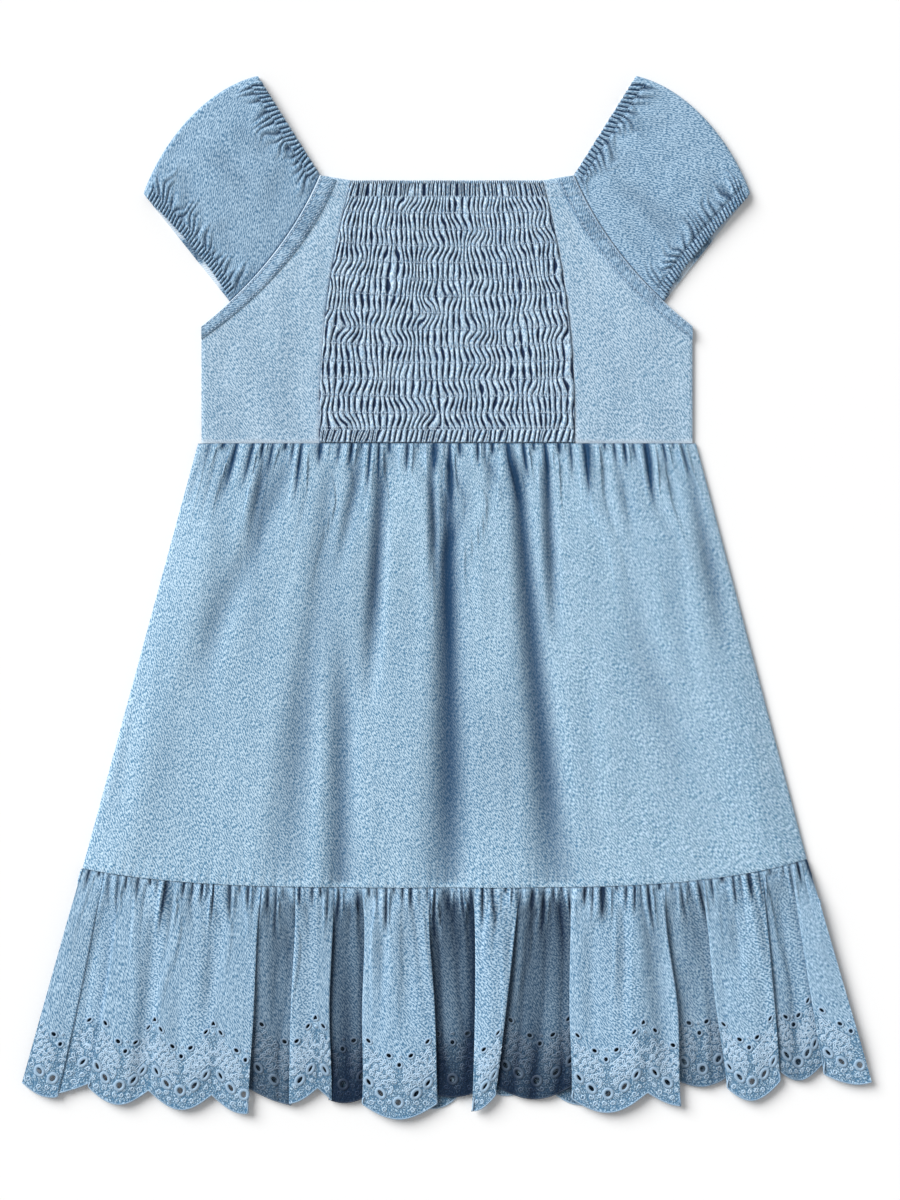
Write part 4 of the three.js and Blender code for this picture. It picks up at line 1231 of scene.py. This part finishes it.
# %% The folds of the tier
HEM_LEFT, HEM_RIGHT = -237.4, 237.4
HEM_LOW = -291.6
HEM_RISE = {-1: 14, 1: 20.5}
SCALLOP_DEPTH = 9.5
TUCK_PER_LIFT = 0.95
LOBE_SHOULDER = 0.8
TIER_OPENS_OVER = 0.3
TIER_SWAY = 3.0
SWAY_FREE = 24
TIER_FOLDS = [
    # seam end, hem end, lift, drawn up, first scallop, last scallop, columns, painted shade of a floor
    (-191.5, -216.7, 3.2, 0, 0.1, 0.66, 16, 0),
    (-182, -201, 1, 1, 0.7, 1, 10, 0),
    (-103.6, -110.3, 4.2, 0, 1.03, 3.6, 82, 0),
    (-84, -89, 0.6, 6, 4, 4.45, 20, 0.66),
    (-63.3, -63.8, 3.8, 7, 4.5, 5.25, 22, 0.12),
    (-47, -48.2, 0.3, 8.4, 5.3, 5.8, 16, 0.92),
    (-9.5, -4.5, 4.8, 0, 6.03, 7, 40, 0),
    (15.1, 13.4, 0, 12.5, 7.3, 7.75, 22, 0.98),
    (40.3, 28, 4.8, 4.7, 8.45, 9, 24, 0),
    (69.4, 68.9, 0.4, 10.5, 9, 9.95, 34, 0.92),
    (121.5, 131.6, 4.8, 1, 10, 11.45, 56, 0),
    (141.7, 155.7, 0.3, 10.8, 12.15, 12.85, 22, 0.45),
    (175.3, 187, 4, 0, 13, 14, 32, 0),
    (192, 210, 0.8, 7.6, 14.05, 15, 22, 0.32),
    (SKIRT_RIGHT, HEM_RIGHT, 3.2, 0, 15, 15.58, 26, 0),
]
FLANK_COLUMNS = 4
COLUMN_DENSITY = 1.3
SEAM_STEP = 0.8
TIER_CREASES = [
    # seam, hem, to, width, depth
    (-160, -174, 1.2, 5, 0.8),
    (-130, -135, 0.7, 4, 0.7),
    (79, 83, 0.8, 4, 0.55),
    (95, 102, 0.6, 3.5, 0.6),
    (111, 124, 1, 5, 0.8),
    (160, 168, 0.5, 4, 0.6),
    (-38, -36, 0.5, 3.5, 0.5),
    (-24, -21, 0.7, 4, 0.5),
]


def scallop_rise(scallops):
    return SCALLOP_DEPTH * (1 - np.abs(np.sin(np.pi * scallops)))


def hem_low(x):
    left = HEM_RISE[-1] * (np.minimum(x, 0) / HEM_LEFT) ** 2
    return HEM_LOW + left + HEM_RISE[1] * (np.maximum(x, 0) / HEM_RIGHT) ** 2


def tier_columns():
    """Each column of the strip: where it lies at the seam and the hem, and what the fold does there."""
    columns = []
    seam_start, hem_start = SKIRT_LEFT, HEM_LEFT
    lifts = [fold[2] for fold in TIER_FOLDS]
    for number, (seam_end, hem_end, lift, drawn, first, last, count, shade) in enumerate(TIER_FOLDS):
        is_floor = number % 2 == 1
        beside_shade = [TIER_FOLDS[max(number - 1, 0)][7], TIER_FOLDS[min(number + 1, len(lifts) - 1)][7]]
        tucks = [0, 0]
        if is_floor:
            beside = (lifts[number - 1], lifts[number + 1])
            tucks = [TUCK_PER_LIFT * (LOBE_SHOULDER * other - lift) for other in beside]
        for across in np.linspace(0, 1, round(COLUMN_DENSITY * count) + 1):
            crown = 1 if is_floor else blend(LOBE_SHOULDER, 1, np.sin(np.pi * across))
            tuck = blend(-tucks[0], tucks[1], across)
            step = SEAM_STEP * (1 - 2 * across) * is_floor
            to_edge = abs(hem_end - hem_start) * min(across, 1 - across)
            columns.append((
                blend(seam_start, seam_end, across), blend(hem_start, hem_end, across),
                lift * crown, drawn, blend(first, last, across), tuck, step, not is_floor,
                shade, to_edge, beside_shade[int(across > 0.5)],
            ))
        seam_start, hem_start = seam_end, hem_end
        if number + 1 < len(TIER_FOLDS):
            columns += [None] * FLANK_COLUMNS
    return columns


listed = tier_columns()
known = np.array([place for place, column in enumerate(listed) if column is not None])
table = np.array([listed[place] for place in known], float)
TIER_COUNT = len(listed)
tier_table = [np.interp(np.arange(TIER_COUNT), known, table[:, field]) for field in range(table.shape[1])]
tier_seam_x, tier_hem_x, tier_lift, tier_drawn, tier_scallops = tier_table[:5]
tier_tuck, tier_step, tier_lobe, tier_shade, tier_to_edge, tier_beside = tier_table[5:]
on_fold = np.isin(np.arange(TIER_COUNT), known)
print(TIER_COUNT, "columns of cloth in the tier, and", int(tier_scallops[-1]), "whole scallops")

# %% The tier's face
TIER_ROWS = (22, 8, 34)
TIER_ROW_ENDS = (0, 0.22, 0.6, 1)
TIER_GATHERS = 74
HEM_SAG = 0.55
ROUNDING = [1, 4, 6, 4, 1]
LACE_LOW = 28.5
LACE_CLIMB = 14
tier_rows = uneven(TIER_ROWS, TIER_ROW_ENDS)


def rounded_across(grid, passes=2):
    """A grid whose sharp turns across the cloth are made round, with its two ends kept."""
    reach = len(ROUNDING) // 2
    for _ in range(passes):
        padded = np.pad(grid, ((0, 0), (reach, reach)), mode="reflect", reflect_type="odd")
        parts = [weight * padded[:, shift:shift + grid.shape[1]] for shift, weight in enumerate(ROUNDING)]
        grid = sum(parts) / sum(ROUNDING)
    return grid


def lace_share(scallops, above):
    """Where embroidery covers the ground: higher over the valleys than over a scallop's middle."""
    edge = LACE_LOW + LACE_CLIMB * np.abs(np.cos(np.pi * scallops)) ** 1.6
    return 1 - smooth_step(above, edge - 1.2, edge + 0.6)


def tier_face():
    """The face of the tier, with its painted shade and highlight, its place on the flat strip and its lace.
    """
    down = tier_rows[:, None]
    opened = smooth_step(down, 0, TIER_OPENS_OVER)
    held = smooth_step(HEM_RIGHT - np.abs(tier_hem_x), 0, SWAY_FREE)
    sway = TIER_SWAY * np.sin(np.pi * down) * held * drift(94, tier_hem_x, 34 * down, 26, 20)
    x = blend(tier_seam_x, tier_hem_x, down) + blend(tier_step, tier_tuck, opened) + sway
    crease = np.zeros_like(x)
    for seam, hem, to, width, depth in TIER_CREASES:
        crease += depth * near(x - blend(seam, hem, down), width) * (1 - smooth_step(down, to - 0.25, to))
    flat_lift, _ = skirt_lift(tier_seam_x, np.ones_like(tier_seam_x))
    sagged = 1 - HEM_SAG * smooth_step(down, 0.8, 1)
    lift = blend(flat_lift, tier_lift * (1 - 0.6 * crease) * sagged, opened)
    seam_y = skirt_seam_y(tier_seam_x)
    hem_y = hem_low(tier_hem_x) + tier_drawn + scallop_rise(tier_scallops)
    y = blend(seam_y, hem_y, down)
    x = rounded_across(x)
    lift = rounded_across(lift)

    depth = seam_y - y
    everywhere = np.ones_like(y)
    calm = rounded_across(np.repeat(on_fold[None, :] * 1.0, len(tier_rows), 0))
    is_lobe = rounded_across(np.repeat(tier_lobe[None, :], len(tier_rows), 0))
    count = (tier_seam_x - SKIRT_LEFT) / (SKIRT_RIGHT - SKIRT_LEFT) * TIER_GATHERS
    fine, fine_fade = gather_run(count * everywhere, 30, depth, 81)
    broad, broad_fade = gather_run(count * 0.45 * everywhere, 95, depth, 91)
    begun = smooth_step(depth, 2, 12)
    gathers = 2.0 * fine * fine_fade + 1.5 * broad * broad_fade * begun
    pleats = 0.7 * (1 - is_lobe) * ridges(tier_hem_x / 10.5 + 0.5 * drift(95, x, y, 9, 70), 0.8)
    waves = 0.4 * drift(92, x, y, 8, 60) + 0.12 * drift(93, x, y, 5, 18)
    z = FRONT_FACE + lift + calm * (gathers + pleats * opened + waves)
    z = z - 0.8 * rolled(depth, 1.0)

    # Painted highlight on the rims of the lobes beside a shaded floor; painted shade on the floors, darker
    # near the lobes' edges and towards the hem, in the gathers' slits, the pleats and the creases; painted
    # paler where the waves rise, and a dark line at the seam.
    crisp = np.clip(0.3 + tier_beside, 0, 1)
    rim = crisp * near(tier_to_edge, 1.2) * is_lobe * smooth_step(down, 0.06, 0.3)
    corner = 0.8 + 0.2 * near(tier_to_edge, 3.5)
    dark_from = 4 * drift(96, tier_seam_x, 0, 2.4, 1)
    floor_shade = tier_shade * corner * smooth_step(depth - dark_from, -2, 9) * (1 - 0.6 * fine * fine_fade)
    floor_shade = floor_shade * (1 + 0.35 * smooth_step(depth, 70, 120))
    slits = np.minimum(1, 3 * (1 - fine) ** 1.5 * fine_fade) + 0.5 * (1 - broad) ** 1.3 * broad_fade * begun
    slits = (slits - 0.6 * smooth_step(fine, 0.75, 1) * fine_fade) * (0.6 + 0.4 * is_lobe)
    pleat_shade = (1 - is_lobe) * opened * (0.12 - 0.25 * pleats)
    hollow = floor_shade + calm * (slits + pleat_shade) + 0.3 * crease * opened
    hollow = hollow - 0.14 * drift(92, x, y, 8, 60) - 0.85 * rim
    hollow = np.maximum(hollow, 0.5 * near(depth, 0.5))
    middle = len(tier_rows) // 2
    steps = np.hypot(np.diff(x[middle]), np.diff(z[middle]))
    strip = np.concatenate([[0], np.cumsum(steps)])
    cloth = np.stack([strip * everywhere, y - hem_y], -1)
    above = y - hem_low(tier_hem_x) - tier_drawn
    return np.stack([x, y, z], -1), hollow, cloth, lace_share(tier_scallops * everywhere, above)


tier_top, tier_hollow, tier_cloth, tier_lace = tier_face()
tier_below = wrong_side(tier_top, CLOTH, FRONT_UNDER)
print("The tier's strip is", round(float(tier_cloth[0, -1, 0])), "mm wide as it lies")

# %% [markdown]
# ## The eyelet border
# Broderie anglaise: holes are punched in the cloth and their edges are covered with satin stitch.
# A hole through a grid could be cut by a boolean, but that leaves ragged slivers. Instead a block
# of faces is left out and the points round it are moved onto an oval, so each hole has a clean
# wall. The pattern is an everyday one: five ovals along each scallop, and trefoils above.

# %% Where the eyelets lie in one scallop
SCALLOP_PITCH = 37.0
OVALS = [
    # millimetres aside of the scallop's middle, over its tip, half width, half height
    (0, 9.8, 1.75, 1.95),
    (-8.1, 14, 1.85, 1.75),
    (8.1, 14, 1.85, 1.75),
    (-14, 19.8, 1.7, 1.6),
    (14, 19.8, 1.7, 1.6),
]
MIDDLE_TREFOIL = [(-5.3, 35, 1.4, 1.15), (5.3, 35, 1.4, 1.15), (0, 30, 1.15, 1.25)]
VALLEY_TREFOIL = [(-4.8, 43.5, 1.4, 1.15), (4.8, 43.5, 1.4, 1.15), (0, 49, 1.1, 1.2)]
KNOTS = [(0, 35.2), (SCALLOP_PITCH / 2, 43.8)]
half_pitch = SCALLOP_PITCH / 2
one_scallop = OVALS + MIDDLE_TREFOIL + [(aside + half_pitch, *rest) for aside, *rest in VALLEY_TREFOIL]
RING_WIDTH = 0.6
RING_HEIGHT = 0.42
OVAL_RING_WIDTH = 0.95
BIG_HOLE = 1.4


def sampled(grid, row, column):
    """A value between the points of a grid."""
    row = np.clip(row, 0, grid.shape[0] - 1.001)
    column = np.clip(column, 0, grid.shape[1] - 1.001)
    top, left = np.floor(row).astype(int), np.floor(column).astype(int)
    to_low, to_right = (row - top)[..., None], (column - left)[..., None]
    upper = blend(grid[top, left], grid[top, left + 1], to_right)
    lower = blend(grid[top + 1, left], grid[top + 1, left + 1], to_right)
    return blend(upper, lower, to_low)


def punched(face, under, places):
    """The two grids with their points moved onto each hole's oval, what is kept, and the holes."""
    new_face, new_under = face.copy(), under.copy()
    kept = np.ones((face.shape[0] - 1, face.shape[1] - 1), bool)
    holes = []
    for row, column, half_width, half_height in places:
        i, j = int(round(row)), int(round(column))
        if not (3 < i < face.shape[0] - 4 and 3 < j < face.shape[1] - 4):
            continue
        tall = np.linalg.norm(face[i + 1, j] - face[i - 1, j]) / 2
        wide = np.linalg.norm(face[i, j + 1] - face[i, j - 1]) / 2
        high = max(1, round(half_height / tall))
        broad = max(1, round(half_width / wide))
        block = kept[i - high - 1:i + high + 1, j - broad - 1:j + broad + 1]
        if not block.all():
            continue
        kept[i - high:i + high, j - broad:j + broad] = False
        for di in range(-high, high + 1):
            for dj in range(-broad, broad + 1):
                if abs(di) != high and abs(dj) != broad:
                    continue
                aim = np.array([dj / broad, di / high])
                aim /= np.linalg.norm(aim)
                place = (np.array(i + aim[1] * half_height / tall), np.array(j + aim[0] * half_width / wide))
                new_face[i + di, j + dj] = sampled(face, *place)
                new_under[i + di, j + dj] = sampled(under, *place)
        holes.append((i, j, half_width / wide, half_height / tall, wide, tall))
    return new_face, new_under, kept, holes


def satin_rings(face, hollow, holes, steps=20):
    """The covered edge of each hole, wider round the ovals than round the small holes."""
    normals = normals_of(face)
    turns = 2 * np.pi * np.arange(steps) / steps
    rings = []
    for i, j, broad, high, wide, tall in holes:
        width = OVAL_RING_WIDTH if high * tall > BIG_HOLE else RING_WIDTH
        rows = i - (high + width * 0.75 / tall) * np.sin(turns)
        columns = j + (broad + width * 0.75 / wide) * np.cos(turns)
        grids = (face, normals, hollow[..., None])
        line, upward, shade = (sampled(grid, rows, columns) for grid in grids)
        rings.append(tube((line, upward, shade[:, 0]), width, RING_HEIGHT, closed=True))
    return rings


# %% The tier with its eyelets
EYELET_MARGIN = 3.2


def tier_place(scallops, above):
    """The row and column of the tier at a count of scallops and a height over the scallop's tip."""
    column = np.interp(scallops, tier_scallops, np.arange(TIER_COUNT))
    seam_x, hem_x = (np.interp(column, np.arange(TIER_COUNT), field) for field in (tier_seam_x, tier_hem_x))
    drawn = np.interp(column, np.arange(TIER_COUNT), tier_drawn)
    seam_y, low = skirt_seam_y(seam_x), hem_low(hem_x) + drawn
    share = (seam_y - low - above) / (seam_y - low - scallop_rise(scallops))
    return np.interp(share, tier_rows, np.arange(len(tier_rows))), column


def clear_of_flanks(column, margin):
    """Whether a place lies on an open fold of the cloth, with some columns to spare."""
    nearby = np.arange(int(column - margin), int(column + margin) + 1)
    return bool(nearby[0] >= 0 and nearby[-1] < TIER_COUNT and on_fold[nearby].all())


tier_eyelets = []
for tip in np.arange(0.5, 16):
    for aside, above, half_width, half_height in one_scallop:
        row, column = tier_place(tip + aside / SCALLOP_PITCH, above)
        if clear_of_flanks(column, EYELET_MARGIN):
            tier_eyelets.append((float(row), float(column), half_width, half_height))

face, under, kept, holes = punched(tier_top, tier_below, tier_eyelets)
tier_front = shell(
    "tier_front_cloth", face, under, eyelet_denim, tier_hollow, tier_cloth, kept, lace=tier_lace,
)
print(len(holes), "eyelets in the front tier")

# %% [markdown]
# ## The embroidery round the eyelets
# Between the ovals and the trefoils the border is filled with stitched sprigs: stems that swing up
# from the middle of each scallop to the valleys, with leaves on both sides, small curls and knots.
# It is an ordinary flower-and-leaf filling of its own. Each line is a low tube on the cloth.

# %% Sprigs for one scallop
STEM_STEPS = 20
LEAF_STEPS = 8
CURL_STEPS = 10


def stem(low, high, reach, sway):
    """A stem from the middle of a scallop out to a valley."""
    along = np.linspace(0, 1, STEM_STEPS)
    aside = 1.2 + (reach - 1.2) * along
    return np.stack([aside, blend(low, high, along**1.35) + sway * np.sin(2 * np.pi * along)], -1)


def leaf(x, y, turn, length, width=1.4):
    """A leaf as a closed loop from its foot."""
    steps = np.linspace(0, 2 * np.pi, LEAF_STEPS, endpoint=False)
    along = length * (1 - np.cos(steps)) / 2
    aside = width / 2 * np.sin(steps) * np.sin(steps / 2)
    return np.stack([x + along * np.cos(turn) - aside * np.sin(turn),
                     y + along * np.sin(turn) + aside * np.cos(turn)], -1)


def curl(x, y, size, turn, hand):
    """A small curl that winds in."""
    angles = turn + hand * np.linspace(0, 2.4 * np.pi, CURL_STEPS)
    radius = size * np.linspace(1, 0.3, CURL_STEPS)
    return np.stack([x + radius * np.cos(angles), y + radius * np.sin(angles)], -1)


def sprigs():
    """The lines of half a scallop, in millimetres aside and over the tip, and whether each closes."""
    lines = []
    stems = [stem(21, 36, 17.8, 0.8), stem(15.8, 28, 17.8, -0.9), stem(26, 41, 15, 0.6)]
    for number, line in enumerate(stems):
        lines.append((line, False))
        for place in range(2, STEM_STEPS - 1, 3):
            run = line[place + 1] - line[place]
            heading = np.arctan2(run[1], run[0])
            for hand in (-1, 1):
                lines.append((leaf(*line[place], heading + hand * 1.05, 2.9 - 0.25 * number), True))
    curls = np.random.default_rng(151)
    for row, above in enumerate(np.arange(5.2, 38, 3.9)):
        for aside in np.arange(2.1 + 2.1 * (row % 2), 18.5, 4.2):
            low = SCALLOP_DEPTH * (1 - np.cos(np.pi * aside / SCALLOP_PITCH)) + 3.4
            high = LACE_LOW + LACE_CLIMB * np.sin(np.pi * aside / SCALLOP_PITCH) ** 1.6 - 2.5
            if low < above < high:
                turn, size = curls.uniform(0, 2 * np.pi), curls.uniform(1.25, 1.75)
                lines.append((curl(aside, above, size, turn, curls.choice([-1, 1])), False))
    return lines


# %% The sprigs, rings, knots and corded edge of the front tier
SPRIG_WIDTH = 0.42
SPRIG_HEIGHT = 0.3
KNOT_SIZE = 0.55
tier_normals = normals_of(tier_top)


def on_tier(line, tip):
    """A drawn line laid on the cloth at a scallop, or nothing where a fold or a hole takes it."""
    rows, columns = tier_place(tip + line[:, 0] / SCALLOP_PITCH, line[:, 1])
    if not all(clear_of_flanks(column, 1.2) for column in columns):
        return None
    if rows.max() > len(tier_rows) - 2.2:
        return None
    for i, j, broad, high, *_ in holes:
        inside = ((rows - i) / (high + 1.5)) ** 2 + ((columns - j) / (broad + 1.5)) ** 2
        if (inside < 1).any():
            return None
    grids = (tier_top, tier_normals, tier_hollow[..., None])
    points, normals, hollow = (sampled(grid, rows, columns) for grid in grids)
    return points, normals, hollow[:, 0]


sprig_tubes = []
for tip in np.arange(0.5, 16):
    for line, closed in sprigs():
        for hand in (-1, 1):
            laid = on_tier(line * [hand, 1], tip)
            if laid:
                sprig_tubes.append(tube(laid, SPRIG_WIDTH, SPRIG_HEIGHT, closed, section=RIDGE_SECTION))
    for aside, above in KNOTS:
        steps = np.linspace(0, 2 * np.pi, LEAF_STEPS, endpoint=False)
        dot = np.stack([aside + KNOT_SIZE * np.cos(steps), above + KNOT_SIZE * np.sin(steps)], -1)
        laid = on_tier(dot, tip)
        if laid:
            sprig_tubes.append(tube(laid, 0.5, 0.6, True, section=RIDGE_SECTION))

tier_sprigs = join_tubes("tier_sprigs", sprig_tubes, lace_thread)
tier_rings = join_tubes("tier_eyelet_rings", satin_rings(tier_top, tier_hollow, holes), blue_thread)

# %% The corded edge
CORD_WIDTH = 0.95
CORD_HEIGHT = 0.6


def corded_edge(line, hollow, width, height):
    """Satin stitch over the cut edge of a hem."""
    outward = np.cross(np.gradient(line, axis=0), [0.0, 0.0, 1.0])
    outward /= np.maximum(np.linalg.norm(outward, axis=1, keepdims=True), 1e-9)
    return tube((line, outward, hollow), width, height, ripple=0.15)


cord = corded_edge((face[-1] + under[-1]) / 2, tier_hollow[-1], CORD_WIDTH, CORD_HEIGHT)
tier_cord = join_tubes("tier_corded_edge", [cord], blue_thread)

# %% [markdown]
# ## The back
# The back lies on the table and is almost hidden. It is as plain as the imported model says, and its
# outer side, which faces down, carries gathers and creases like the front's, pressed flat: soft
# troughs in a face that rests on the table, with painted shade in them. Its inner side shows below
# the drawn-up folds of the front, and is painted darker all over, as the shade that falls there.

# %% A back panel
BACK_TROUGH = 0.5
BACK_TOP = 1.15
INSIDE_SHADE = 0.4


def back_shell(name, x, y, trough_depth, finish, kept_places=(), lace=None):
    """A panel that rests on the table, seen from below: its face is the underside."""
    top = np.stack([x, y, np.full_like(x, BACK_TOP)], -1)
    bottom = np.stack([x, y, BACK_TROUGH * np.clip(trough_depth, 0, 1)], -1)
    # Painted shade in the troughs of the side facing down, and painted shade over the whole inner side.
    hollow = 0.8 * np.clip(trough_depth, 0, 1)
    inside = np.full_like(x, INSIDE_SHADE)
    top, bottom, kept, holes = punched(top, bottom, kept_places)
    panel = shell(name, top, bottom, finish, inside, np.stack([x, y], -1), kept, lace=lace, wrong=hollow)
    return panel, top, hollow, holes


down, across = panel_grid(44, 150)
x = blend(*skirt_sides(down), across)
y = blend(WAIST_Y - SEAM_GAP, skirt_seam_y(blend(SKIRT_LEFT, SKIRT_RIGHT, across)) + SEAM_GAP, down)
fine, fade = gather_run(across * 34, 34, WAIST_Y - y, 101)
broad, broad_fade = gather_run(across * 12, 170, WAIST_Y - y, 111)
troughs = (1 - fine) * fade + 0.8 * (1 - broad) * broad_fade
skirt_back, *_ = back_shell("skirt_back_cloth", x, y, troughs, skirt_denim)

down, across = panel_grid(60, 60)
high = blend(ARMHOLE[0][1], WAIST_Y, down)
half = blend(-armhole_x(high), SIDE_X, smooth_step(-high, -ARMHOLE[-1][1], -ARMHOLE[-1][1] + 0.5))
x = blend(-half, half, across)
neck = smock_half_width(NECK_Y)
dip = (ARMHOLE[0][1] - NECK_Y) * (1 - smooth_step(np.abs(x), neck, -ARMHOLE[0][0])) * (1 - down)
y = high - dip
creases = 0.4 + 0.5 * drift(121, x, y, 12, 30)
back_bodice, *_ = back_shell("back_bodice_cloth", x, y, creases * smooth_step(down, 0, 0.1), bodice_denim)

# %% The back tier with its scallops and eyelets
BACK_SCALLOPS = 11
BACK_DRAWN_UP = 12.5
BACK_FIRST_SCALLOP = 0.2
BACK_LOW_SCALLOPS = (-10, 76.7)
BACK_LOW_DROP = 7
BACK_LOW_HALF_WIDTH = 21
BACK_COLUMNS = 330
BACK_ROWS = (14, 24)
BACK_ROW_ENDS = (0, 0.72, 1)
BACK_CORD_MIDDLE = 0.62
BACK_INSET = 6

back_rows = uneven(BACK_ROWS, BACK_ROW_ENDS)
down, across = np.meshgrid(back_rows, np.linspace(0, 1, BACK_COLUMNS + 1), indexing="ij")
back_scallops = BACK_FIRST_SCALLOP + across * BACK_SCALLOPS
hem_x = blend(HEM_LEFT, HEM_RIGHT, across)
seam_x = blend(SKIRT_LEFT, SKIRT_RIGHT, across)
low = hem_low(hem_x) + BACK_DRAWN_UP
for middle in BACK_LOW_SCALLOPS:
    low = low - BACK_LOW_DROP * np.exp(-(((hem_x - middle) / BACK_LOW_HALF_WIDTH) ** 4))
hem_y = low + scallop_rise(back_scallops)
y = blend(skirt_seam_y(seam_x), hem_y, down)
front_share = (skirt_seam_y(seam_x) - y) / (skirt_seam_y(seam_x) - hem_low(hem_x) + BACK_INSET)
x = blend(seam_x, hem_x, front_share)
fine, fade = gather_run(across * 60, 26, skirt_seam_y(seam_x) - y, 131)
broad, broad_fade = gather_run(across * 22, 110, skirt_seam_y(seam_x) - y, 141)

back_places = []
for tip in np.arange(0.5, BACK_SCALLOPS + 0.5):
    for aside, above, half_width, half_height in OVALS:
        column = (tip + aside / SCALLOP_PITCH - BACK_FIRST_SCALLOP) / BACK_SCALLOPS * BACK_COLUMNS
        if not 8 < column < BACK_COLUMNS - 8:
            continue
        j = int(round(column))
        target = low[0, j] + above
        row = np.interp(-target, -y[:, j], np.arange(len(back_rows)))
        back_places.append((float(row), float(column), half_width, half_height))
troughs = (1 - fine) * fade + 0.7 * (1 - broad) * broad_fade
back_lace = lace_share(back_scallops, y - low)
tier_back, back_top, back_hollow, back_holes = back_shell(
    "tier_back_cloth", x, y, troughs, eyelet_denim, back_places, back_lace,
)
back_line = np.stack([x[-1], y[-1], np.full(BACK_COLUMNS + 1, BACK_CORD_MIDDLE)], -1)
back_tubes = satin_rings(back_top, back_hollow, back_holes, 14)
back_tubes.append(corded_edge(back_line, back_hollow[-1], 0.55, 0.6))
back_edging = join_tubes("back_tier_edging", back_tubes, blue_thread)

# %% [markdown]
# ## What each piece is
# Each shell and its trims are put on one body, and the imported solid that the shell stands in for
# is hidden.

# %% Every piece on its body
def declare(piece, node, trims=()):
    """A panel stands for its node, and its trims go with it."""
    for part in (piece, *trims):
        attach(part, "root")
    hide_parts(node)


declare(shirred_centre, "front_centre_smocked",
        [shirring_threads])
for side, word in SIDES.items():
    trims = [bodice_topstitching] if side < 0 else []
    declare(side_panels[side], f"front_side_{word}",
            trims)
    declare(armhole_bands[side], f"armhole_band_{word}")
    sleeve_trims = [sleeve_stitching] if side < 0 else []
    declare(sleeves[side], f"sleeve_{word}",
            sleeve_trims)
declare(back_bodice, "back_bodice")
declare(skirt_front, "skirt_front")
declare(skirt_back, "skirt_back")
declare(tier_front, "ruffle_front",
        [tier_sprigs, tier_rings, tier_cord])
declare(tier_back, "ruffle_back", [back_edging])

# %% The sizes of the dressed model
low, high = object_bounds()
print("The dressed model measures", [round(1000 * side, 1) for side in high - low], "mm")
